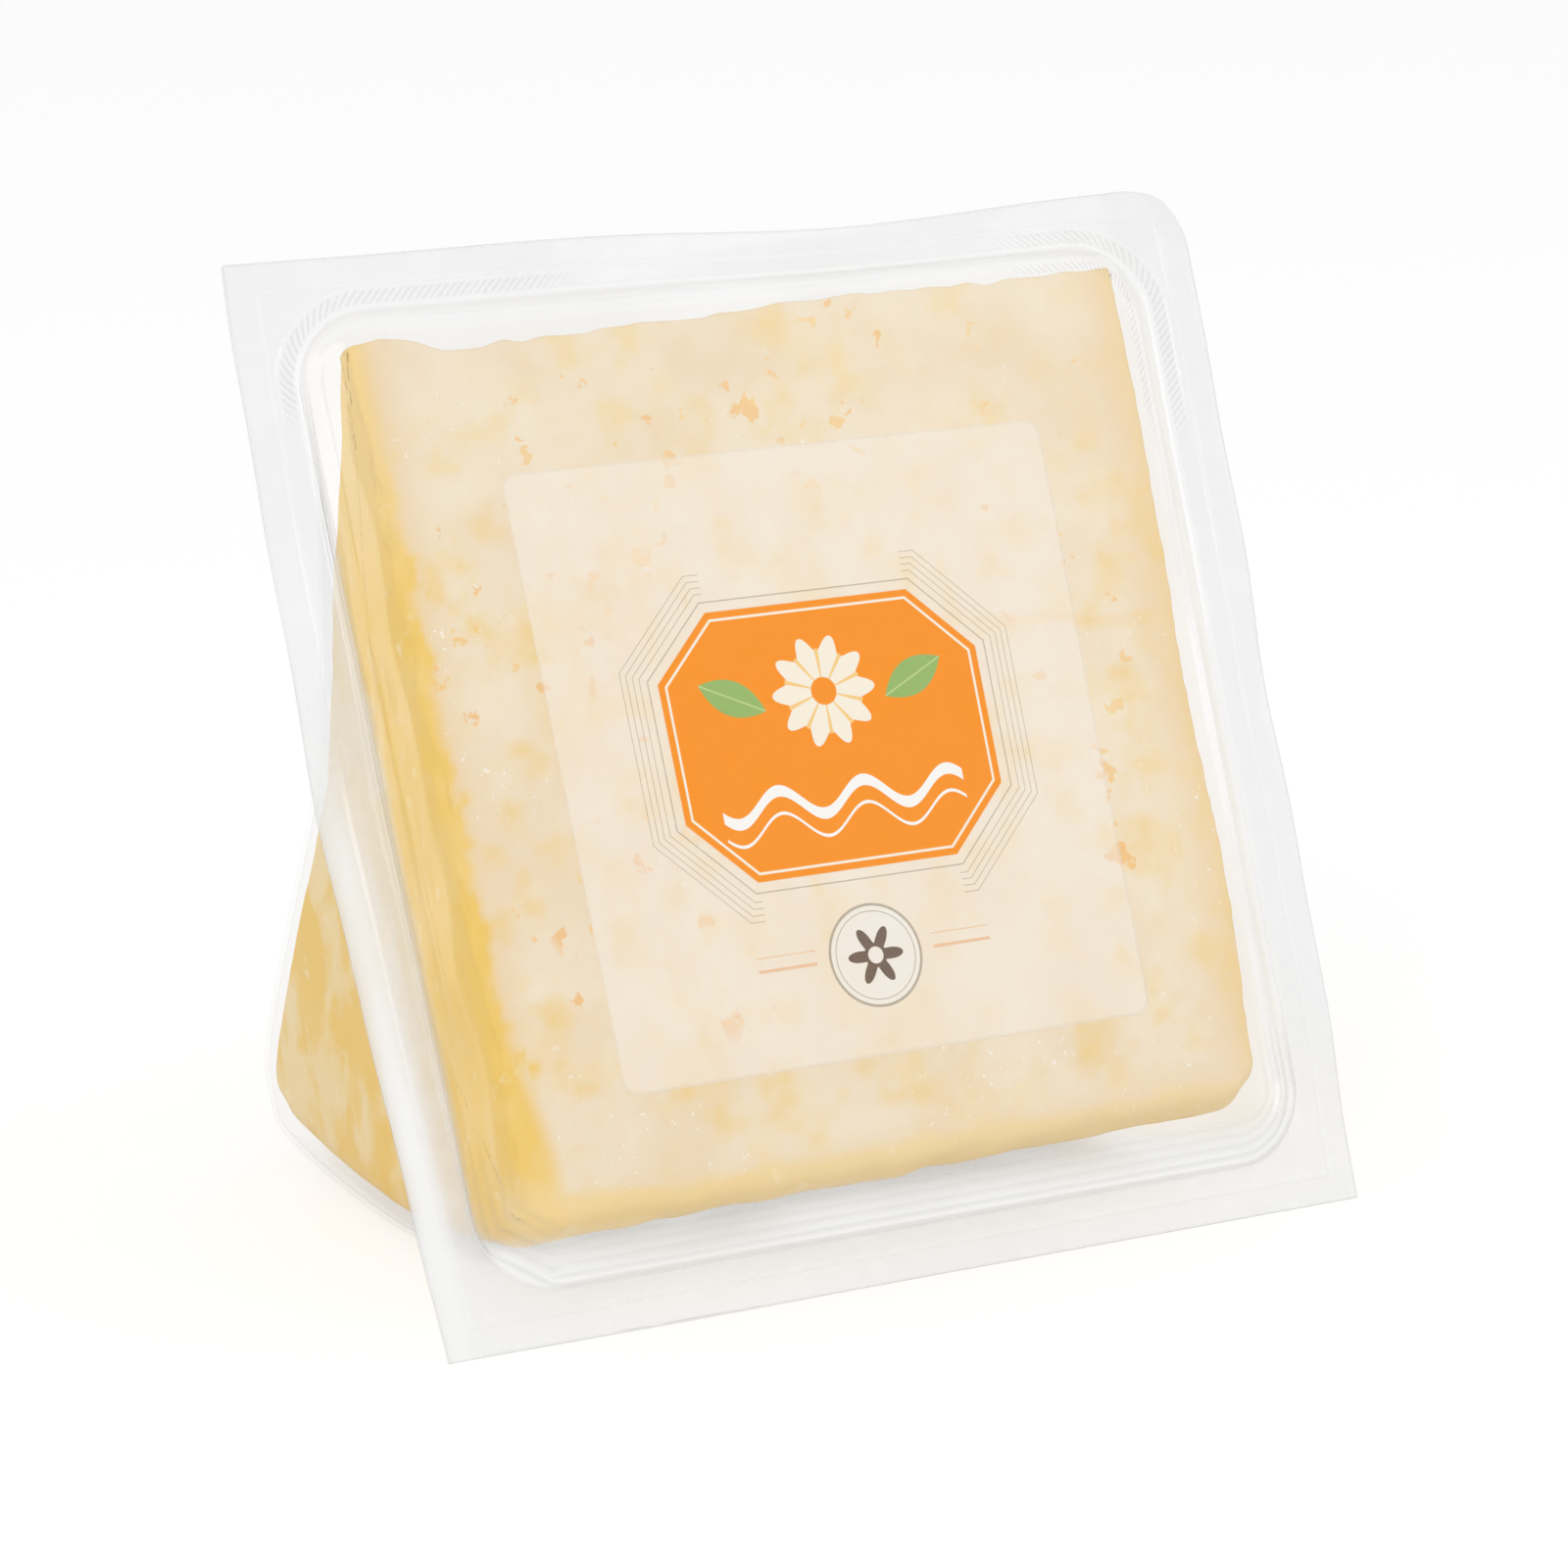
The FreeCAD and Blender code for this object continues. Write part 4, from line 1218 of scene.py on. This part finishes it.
def dress(pieces, material):
    """Give the pieces their finish, and tell how many nodes it took."""
    for piece in pieces:
        piece.data.materials.append(material)
    print(material.name, "has", len(material.node_tree.nodes), "nodes")


# %% [markdown]
# ## The finish of the cheese
# The cut face is cream, a little darker and yellower towards the rind, with
# soft clouds and small bits of fruit peel.  The flat faces of the wheel are
# deep yellow with pale patches, where fat and film have met.  Noise gives the
# clouds, the middles of bent cells give the bits, and the masks stored on the
# mesh say where each belongs.

# %% The paste of the cut face
cheese_finish, s, output = new_material("cured_sheep_cheese")
place = s.add("ShaderNodeTexCoord").outputs["Object"]
rind = s.attribute("rind")
rim = s.attribute("rim")
clouds = s.noise(place, 62.0, 4.0, 0.55, 0.6)
curds = s.noise(place, 210.0, 3.0, 0.6, 0.4)
PALE_PASTE, RIPE_PASTE = (0.875, 0.75, 0.565, 1), (0.845, 0.685, 0.475, 1)
paste = s.blend(s.ramp(clouds, 0.35, 0.68), PALE_PASTE, RIPE_PASTE)
paste = s.blend(s.ramp(curds, 0.45, 0.75, 0.0, 0.30), paste, (0.91, 0.82, 0.64, 1))
edge_tone = s.ramp(s.plus(rim, s.times(clouds, 0.15)), 0.80, 0.12)
paste = s.blend(s.times(edge_tone, 0.8), paste, (0.83, 0.61, 0.33, 1))

# %% [markdown]
# ## Peel, a crack and painted glints
# Small bits of peel lie in the paste, crowded in a few places, and one short
# crack runs across the cut.  Every bit could be a piece of its own, but they
# lie flush with the cut, so they are drawn: the middles of bent cells make
# ragged shards, and each cell's own random number decides whether it counts.

# %% Bits of peel and a crack
warp = s.add("ShaderNodeTexNoise", {"Vector": place, "Scale": 620.0, "Detail": 2.0})
bent = s.add(
    "ShaderNodeVectorMath", {0: warp.outputs["Color"], 1: (0.5, 0.5, 0.5)}, operation="SUBTRACT"
)
bent = s.add("ShaderNodeVectorMath", {0: bent.outputs[0], "Scale": 0.0046}, operation="SCALE")
bent = s.add("ShaderNodeVectorMath", {0: place, 1: bent.outputs[0]}, operation="ADD")
crowd = s.attribute("crowd")


def peel_bits(cells_per_metre, least, spread, share):
    """Shards of peel: the middles of some bent cells; gives mask and kind."""
    cells = s.add(
        "ShaderNodeTexVoronoi",
        {"Vector": bent.outputs[0], "Scale": cells_per_metre, "Randomness": 1.0},
    )
    kind = s.add("ShaderNodeSeparateColor", {0: cells.outputs["Color"]})
    limit = s.plus(least, s.times(kind.outputs[1], spread))
    shard = s.ramp(s.minus(cells.outputs["Distance"], limit), 0.02, -0.06)
    wanted = s.plus(kind.outputs[0], s.times(crowd, share))
    return s.times(shard, s.ramp(wanted, 0.98, 1.02)), kind.outputs[2]


large_bits, large_kind = peel_bits(180.0, 0.10, 0.20, 0.85)
small_bits, small_kind = peel_bits(360.0, 0.12, 0.24, 0.60)
peel_tone = s.blend(large_kind, (0.90, 0.62, 0.25, 1), (0.87, 0.43, 0.12, 1))
paste = s.blend(s.times(large_bits, 0.85), paste, peel_tone)
peel_tone = s.blend(small_kind, (0.91, 0.65, 0.28, 1), (0.88, 0.47, 0.15, 1))
paste = s.blend(s.times(small_bits, 0.75), paste, peel_tone)

# the crack is colour only: its deeper orange is partly the paste's own colour and partly painted
# shade in the groove
crack = s.times(s.attribute("crack"), s.ramp(curds, 0.3, 0.6, 0.25, 0.7))
paste = s.blend(crack, paste, (0.89, 0.62, 0.30, 1))
# painted glints: tiny white specks in patches, for light caught by small droplets on the face
drop_glints = s.ramp(s.noise(place, 1500.0, 1.0, 0.5), 0.70, 0.75)
glint_patches = s.ramp(s.noise(place, 42.0, 2.0, 0.5), 0.50, 0.60, 0.0, 0.65)
paste = s.blend(s.times(drop_glints, glint_patches), paste, (0.97, 0.95, 0.90, 1))

# %% [markdown]
# ## The skin of the flat faces
# The skin that touched the mould is deep yellow with pale patches.  It could
# be a second material on its own faces, but its border is ragged and soft,
# so one material blends skin over paste by the mask stored on the mesh.

# %% The skin of the flat faces, and the whole finish
stretched = s.add("ShaderNodeMapping", {"Vector": place, "Scale": (1.0, 1.0, 0.75)})
patches = s.noise(stretched.outputs[0], 125.0, 3.0, 0.5, 0.3)
strip = s.attribute("strip")
off_strip = s.rest(s.times(strip, 0.75))
pale_share = s.times(s.ramp(patches, 0.44, 0.62), off_strip)
pale_share = s.most(pale_share, s.attribute("pale"))
DEEP_SKIN, PALE_SKIN = (0.865, 0.555, 0.082, 1), (0.89, 0.68, 0.33, 1)
skin = s.blend(pale_share, DEEP_SKIN, PALE_SKIN)
skin_spots = s.noise(place, 300.0, 3.0, 0.6)
skin = s.blend(s.ramp(skin_spots, 0.60, 0.72, 0.0, 0.40), skin, (0.94, 0.80, 0.52, 1))
colour = s.blend(rind, paste, skin)
bump = s.add("ShaderNodeBump", {"Strength": 0.25, "Distance": 0.0006, "Height": curds})
roughness = s.ramp(clouds, 0.35, 0.65, 0.42, 0.58)
principled = s.add(
    "ShaderNodeBsdfPrincipled",
    {
        "Base Color": colour,
        "Roughness": roughness,
        "Specular IOR Level": 0.35,
        "Normal": bump.outputs[0],
    },
)
s.feed(output.inputs["Surface"], principled.outputs[0])
dress([cheese], cheese_finish)

# %% [markdown]
# ## The finish of the film
# Thin film shows what is behind it, but it is not invisible: it scatters a
# little white light, and it shines where it turns away from the eye.  So the
# material mixes a clear shader with a white one, by the haze stored on the
# mesh, and adds gloss by how far the surface turns away.  Only the outer side
# counts, because the film is a closed shell and would look twice as milky.
# Glass would be another way, but it bends light, which film this thin doesn't.
# The sealing tool's fine marks and the cut edge darken both shaders a
# little, as painted shade.
# The film and the label are left out of shadows and of bounced light, which
# saves time: film holds back almost no light, and the label's own shadow would
# fall on the cheese right behind it.

# %% Film material
film_finish, s, output = new_material("clear_pack_film")
haze, cream = s.attribute("haze"), s.attribute("cream")
place = s.add("ShaderNodeTexCoord").outputs["Object"]
inner_side = s.add("ShaderNodeNewGeometry").outputs["Backfacing"]
facing = s.add("ShaderNodeLayerWeight", {"Blend": 0.5}).outputs["Facing"]
shown = s.times(s.rest(inner_side), s.rest(s.carries_light()))
# painted shade: the ribs, the cut edge and the foot lines darken the clear part and the milky part
rib_wave = s.maths("SINE", s.times(s.attribute("turns"), 2 * math.pi))
rib_wave = s.times(s.attribute("ribbed"), s.ramp(rib_wave, -0.6, 0.9, 0.0, 0.10))
painted_mark_shade = s.plus(rib_wave, s.times(s.attribute("dark_line"), 0.14))
passing = s.rest(s.times(painted_mark_shade, shown))
milky_share = s.maths("MULTIPLY", haze, shown, True)
ripple = s.noise(place, 260.0, 2.0, 0.5)
bump = s.add("ShaderNodeBump", {"Strength": 0.3, "Distance": 0.0003, "Height": ripple})
tone = s.blend(cream, (0.75, 0.755, 0.765, 1), (0.82, 0.81, 0.73, 1))
# the white mask is partly painted light, over the foot
tone = s.blend(s.attribute("white"), tone, (0.92, 0.925, 0.92, 1))
tone = s.blend(s.ramp(ripple, 0.45, 0.75, 0.0, 0.25), tone, (0.92, 0.92, 0.91, 1))
tone = s.blend(painted_mark_shade, tone, (0.3, 0.3, 0.31, 1))
body = s.add(
    "ShaderNodeBsdfPrincipled",
    {
        "Base Color": tone,
        "Roughness": s.ramp(ripple, 0.3, 0.7, 0.3, 0.42),
        "Specular IOR Level": 0.3,
        "Normal": bump.outputs[0],
    },
)
clear = s.add("ShaderNodeBsdfTransparent", {"Color": passing})
milky = s.add(
    "ShaderNodeMixShader", {0: milky_share, 1: clear.outputs[0], 2: body.outputs[0]}
)
worn = s.noise(place, 90.0, 2.0, 0.5)
gloss = s.add("ShaderNodeBsdfGlossy", {"Roughness": s.ramp(worn, 0.35, 0.65, 0.10, 0.20)})
grazing = s.maths("POWER", facing, 5.0)
shine = s.plus(0.04, s.times(grazing, 0.6))
shine = s.times(shine, shown)
film = s.add(
    "ShaderNodeMixShader", {0: shine, 1: milky.outputs[0], 2: gloss.outputs[0]}
)
s.feed(output.inputs["Surface"], film.outputs[0])
dress([lid, pocket], film_finish)
for thin_piece in (lid, pocket, label):
    thin_piece.visible_shadow = False
    thin_piece.visible_diffuse = False

# %% [markdown]
# ## The print on the label
# A plain design of colour fields: an eight-sided orange panel with a rosette,
# two leaves and two waves, thin grey lines beside it, and a small medallion
# with a six-petal mark below.  Each field is a distance compared with a size,
# worked out from the label's own map, so its edge is sharp at any distance.
# A picture could do the same, but it would blur close up.

# %% Fields from distances
label_finish, s, output = new_material("printed_clear_label")
x, y = s.attribute("print_x"), s.attribute("print_y")
SOFT_EDGE = 0.06


def inside(distance, soft=SOFT_EDGE):
    """1 where a distance is negative and 0 outside, with a fine soft edge."""
    return s.ramp(distance, soft, -soft)


def both(first, second):
    """Where both fields are."""
    return s.times(first, second)


def stroke(distance, width):
    """A line of that width along the zero of a distance."""
    return inside(s.minus(s.maths("ABSOLUTE", distance), width / 2), 0.04)


def away(centre_x, centre_y):
    """Distance from a point of the label."""
    dx, dy = s.minus(x, centre_x), s.minus(y, centre_y)
    squares = s.plus(s.times(dx, dx), s.times(dy, dy))
    return s.maths("SQRT", squares), dx, dy


print("the print's edges are soft over", 2 * SOFT_EDGE, "mm")

# %% [markdown]
# ## The panel and its rosette
# The panel is a rectangle with its corners cut, so its distance is the larger
# of three simple ones.  The rosette is a circle whose radius waves with the
# direction.  Both could be cut as thin pieces, but ink has no thickness.

# %% The orange panel and its rosette
PANEL_HALF_WIDE, PANEL_HALF_TALL, PANEL_CUT = 19.0, 14.5, 26.5
panel_y = s.minus(y, 1.5)
side_x, side_y = s.maths("ABSOLUTE", x), s.maths("ABSOLUTE", panel_y)
over_x = s.minus(side_x, PANEL_HALF_WIDE)
over_y = s.minus(side_y, PANEL_HALF_TALL)
panel = s.most(over_x, over_y)
slant = s.times(s.minus(s.plus(side_x, side_y), PANEL_CUT), 0.7071)
panel = s.most(panel, slant)
panel_field = inside(panel)

PETALS = 10.0
petal_far, petal_dx, petal_dy = away(0.0, 6.2)
turn = s.maths("ARCTAN2", petal_dy, petal_dx)
petal_wave = s.maths("COSINE", s.times(turn, PETALS))
petal_size = s.plus(5.2, s.times(petal_wave, 0.9))
rosette = inside(s.minus(petal_far, petal_size))
rosette_core = inside(s.minus(petal_far, 1.5))
rosette_rays = both(
    s.ramp(petal_wave, -0.80, -0.95), inside(s.minus(petal_far, 4.6))
)

# %% [markdown]
# ## Leaves, waves and thin lines
# A leaf is a strip along its vein that narrows towards both ends, and a wave
# is a line along a sine.  They could be drawn as curves, but a distance is
# enough.  The grey lines are the panel's own distance, met at several values,
# so they run parallel to its edge.

# %% Leaves and waves
def leaf(centre_x, centre_y, tilt):
    """A leaf: the width each side of its vein shrinks as the way out squared."""
    _, dx, dy = away(centre_x, centre_y)
    cosine, sine = math.cos(tilt), math.sin(tilt)
    along = s.plus(s.times(dx, cosine), s.times(dy, sine))
    aside = s.minus(s.times(dy, cosine), s.times(dx, sine))
    bow = s.minus(1.9, s.times(s.times(along, along), 0.115))
    return inside(s.minus(s.maths("ABSOLUTE", aside), bow)), aside


leaf_right, vein_right = leaf(10.8, 6.6, 0.45)
leaf_left, vein_left = leaf(-10.8, 6.6, -0.45)
leaves = s.most(leaf_right, leaf_left)
WAVE_REACH = 14.5
wave_rise = s.times(s.maths("SINE", s.times(x, 0.62)), 1.5)
wave_line = s.minus(s.plus(y, 5.2), wave_rise)
wave = both(stroke(wave_line, 1.25), inside(s.minus(side_x, WAVE_REACH)))
thin_wave = both(
    stroke(s.minus(wave_line, -2.4), 0.35),
    inside(s.minus(side_x, WAVE_REACH)),
)
panel_line = stroke(s.plus(panel, 0.9), 0.28)
grey_lines = stroke(s.minus(panel, 1.1), 0.16)
for step in range(4):
    line = both(
        stroke(s.minus(panel, 2.0 + 0.7 * step), 0.10),
        inside(s.minus(12.0, side_x)),
    )
    grey_lines = s.most(grey_lines, line)
print("panel:", 2 * PANEL_HALF_WIDE, "by", 2 * PANEL_HALF_TALL, "mm")

# %% [markdown]
# ## The medallion
# Below the panel sits a round mark between two pairs of short lines.  It
# could be a piece of its own, but it is ink too, so it is made of the same
# distances: two rings, and a petal shape with a hole in it.

# %% The medallion and the side lines
MEDAL_LOW, MEDAL_SIZE = 22.3, 5.4
medal_far, medal_dx, medal_dy = away(0.0, -MEDAL_LOW)
medal_field = inside(s.minus(medal_far, MEDAL_SIZE))
thick_ring = stroke(s.minus(medal_far, MEDAL_SIZE), 0.30)
thin_ring = stroke(s.minus(medal_far, MEDAL_SIZE - 0.7), 0.10)
medal_ring = s.most(thick_ring, thin_ring)
medal_turn = s.maths("ARCTAN2", medal_dy, medal_dx)
medal_wave = s.maths("COSINE", s.times(medal_turn, 6.0))
medal_star = inside(s.minus(medal_far, s.plus(2.3, medal_wave)))
medal_hole = inside(s.minus(medal_far, 0.9))
medal_mark = both(medal_star, s.rest(medal_hole))
thick_line = stroke(s.plus(y, MEDAL_LOW), 0.35)
thin_line = stroke(s.plus(y, MEDAL_LOW - 1.4), 0.12)
beside_medal = both(
    inside(s.minus(side_x, 14.0)), inside(s.minus(7.0, side_x))
)
side_lines = both(s.most(thick_line, thin_line), beside_medal)

# %% [markdown]
# ## Inks and sheet
# The inks are laid over one another like a printer's runs, the last on top.
# Where there is ink the label hides the cheese, and elsewhere it is a veil:
# one mask of how much it covers mixes a clear shader with the printed one.

# %% Label material
ORANGE, CREAM = (0.945, 0.290, 0.012, 1), (0.93, 0.86, 0.72, 1)
LEAF_GREEN, LINE_GREY = (0.30, 0.47, 0.14, 1), (0.36, 0.33, 0.30, 1)
DARK_BROWN, WARM_LINE = (0.10, 0.06, 0.05, 1), (0.85, 0.52, 0.32, 1)
grain = s.noise(s.add("ShaderNodeTexCoord").outputs["Object"], 700.0, 3.0, 0.55)
blank = s.blend(grain, (0.93, 0.865, 0.79, 1), (0.96, 0.895, 0.83, 1))
ink = s.blend(panel_field, blank, ORANGE)
ink = s.blend(panel_line, ink, CREAM)
ink = s.blend(rosette, ink, CREAM)
ink = s.blend(rosette_rays, ink, (0.93, 0.60, 0.22, 1))
ink = s.blend(rosette_core, ink, ORANGE)
ink = s.blend(leaves, ink, LEAF_GREEN)
vein = both(leaves, s.most(stroke(vein_right, 0.2), stroke(vein_left, 0.2)))
ink = s.blend(s.times(vein, 0.6), ink, (0.62, 0.72, 0.35, 1))
ink = s.blend(s.most(wave, thin_wave), ink, (0.95, 0.93, 0.90, 1))
ink = s.blend(grey_lines, ink, LINE_GREY)
ink = s.blend(medal_field, ink, (0.90, 0.88, 0.84, 1))
ink = s.blend(medal_ring, ink, (0.42, 0.37, 0.30, 1))
ink = s.blend(medal_mark, ink, DARK_BROWN)
ink = s.blend(side_lines, ink, WARM_LINE)
solid_ink = s.most(panel_field, s.times(medal_field, 0.75))
line_covers = ((grey_lines, 0.6), (medal_ring, 0.85), (medal_mark, 0.9), (side_lines, 0.8))
for field, strength in line_covers:
    solid_ink = s.most(solid_ink, s.times(field, strength))
BLANK_COVER, INK_COVER = 0.42, 0.97
cover = s.most(BLANK_COVER, s.times(solid_ink, INK_COVER))
inner_side = s.add("ShaderNodeNewGeometry").outputs["Backfacing"]
cover = s.times(cover, s.rest(inner_side))
cover = s.times(cover, s.rest(s.carries_light()))
bump = s.add("ShaderNodeBump", {"Strength": 0.15, "Distance": 0.0002, "Height": grain})
label_body = s.add(
    "ShaderNodeBsdfPrincipled",
    {
        "Base Color": ink,
        "Roughness": s.ramp(grain, 0.3, 0.7, 0.35, 0.48),
        "Specular IOR Level": 0.2,
        "Normal": bump.outputs[0],
    },
)
clear = s.add("ShaderNodeBsdfTransparent")
label_mix = s.add("ShaderNodeMixShader", {0: cover, 1: clear.outputs[0], 2: label_body.outputs[0]})
s.feed(output.inputs["Surface"], label_mix.outputs[0])
dress([label], label_finish)

# %% [markdown]
# ## The floor
# A pale floor carries the pack's shadow.  For light that bounces it is plain
# pale paint; for what is looked at, straight or in a reflection, part of that
# paint is a white glow, so that the floor looks white but keeps its shadow.

# %% Floor
floor_mesh = bpy.data.meshes.new("floor")
FLOOR_REACH = 3.0
floor_corners = [
    (x_side * FLOOR_REACH, y_side * FLOOR_REACH, 0)
    for x_side, y_side in ((-1, -1), (1, -1), (1, 1), (-1, 1))
]
floor_mesh.from_pydata(floor_corners, [], [(0, 1, 2, 3)])
floor = bpy.data.objects.new("floor", floor_mesh)
bpy.context.scene.collection.objects.link(floor)
floor_finish, s, output = new_material("pale_floor")
looked_at = s.looked_at()
paint_tone = s.blend(looked_at, (0.93, 0.93, 0.93, 1), (0.42, 0.42, 0.42, 1))
paint = s.add("ShaderNodeBsdfDiffuse", {"Color": paint_tone})
white = s.add(
    "ShaderNodeEmission", {"Color": (1, 1, 1, 1), "Strength": s.times(looked_at, 0.645)}
)
seen = s.add("ShaderNodeAddShader", {0: paint.outputs[0], 1: white.outputs[0]})
s.feed(output.inputs["Surface"], seen.outputs[0])
dress([floor], floor_finish)

# %% [markdown]
# ## Surround and lamps
# The world lights the pack from all sides and stays white behind it.  The two
# square lamps are large, so that the shadows are soft: the brighter one at
# the upper left gives the form, the weaker one at the right fills it.

# %% World and lamps
world = bpy.data.worlds.new("white_surround")
bpy.context.scene.world = world
world.use_nodes = True
world.node_tree.nodes.clear()
s = Shader(world.node_tree)
WHITE, WORLD_LIGHT = (1, 1, 1, 1), 0.72
world_light = s.add("ShaderNodeBackground", {"Color": WHITE, "Strength": WORLD_LIGHT})
world_seen = s.add("ShaderNodeBackground", {"Color": WHITE, "Strength": 1.0})
looked_at = s.looked_at()
mix = s.add(
    "ShaderNodeMixShader", {0: looked_at, 1: world_light.outputs[0], 2: world_seen.outputs[0]}
)
s.add("ShaderNodeOutputWorld", {"Surface": mix.outputs[0]})


def area_lamp(name, place, aim, size, power):
    """A square soft lamp at a place, turned to its aim."""
    data = bpy.data.lights.new(name, "AREA")
    data.size = size
    data.energy = power
    lamp = bpy.data.objects.new(name, data)
    lamp.location = place
    view = Vector(aim) - Vector(place)
    lamp.rotation_euler = view.to_track_quat("-Z", "Y").to_euler()
    bpy.context.scene.collection.objects.link(lamp)
    print(name, "of", power, "watts")


area_lamp("key_lamp", (-0.72, -0.66, 0.80), (0, 0, 0.05), 0.7, 3.8)
area_lamp("fill_lamp", (0.8, -0.5, 0.5), (0, 0, 0.05), 0.8, 1.4)

# %% [markdown]
# ## The camera
# It stands a little to the left, looks slightly down and has a long lens, so
# that the upright edges stay almost parallel.  Its direction is built from
# three angles, and a small shift of the lens sets the framing.  It could be
# aimed by a constraint, but three angles also allow the slight roll.

# %% Camera
CAMERA_YAW, CAMERA_PITCH, CAMERA_ROLL = (math.radians(a) for a in (-28.471, 14.734, 0.312))
CAMERA_FAR = 0.599866
SENSOR_WIDE, LENS_LONG = 36.0, 130.24125
SHIFT_ACROSS, SHIFT_UP = -0.0210625, -0.02475
back = Vector(
    (
        math.sin(CAMERA_YAW) * math.cos(CAMERA_PITCH),
        -math.cos(CAMERA_YAW) * math.cos(CAMERA_PITCH),
        math.sin(CAMERA_PITCH),
    )
)
right = Vector((math.cos(CAMERA_YAW), math.sin(CAMERA_YAW), 0))
upward = back.cross(right)
turned_right = right * math.cos(CAMERA_ROLL) + upward * math.sin(CAMERA_ROLL)
turned_up = upward * math.cos(CAMERA_ROLL) - right * math.sin(CAMERA_ROLL)
aim = Vector(
    (
        0,
        PACK_TALL / 2 * math.sin(LEAN) - STAND_BACK,
        PACK_TALL / 2 * math.cos(LEAN) + STAND_UP,
    )
) / 1000
camera_data = bpy.data.cameras.new("camera")
camera_data.sensor_width = SENSOR_WIDE
camera_data.lens = LENS_LONG
camera_data.shift_x = SHIFT_ACROSS
camera_data.shift_y = SHIFT_UP
camera_data.clip_start = 0.01
camera = bpy.data.objects.new("camera", camera_data)
turn = Matrix((turned_right, turned_up, back)).transposed()
camera.matrix_world = Matrix.Translation(aim + back * CAMERA_FAR) @ turn.to_4x4()
bpy.context.scene.collection.objects.link(camera)
bpy.context.scene.camera = camera
bpy.context.scene.view_settings.view_transform = "Standard"
print("camera stands at", [round(v, 3) for v in camera.matrix_world.translation])
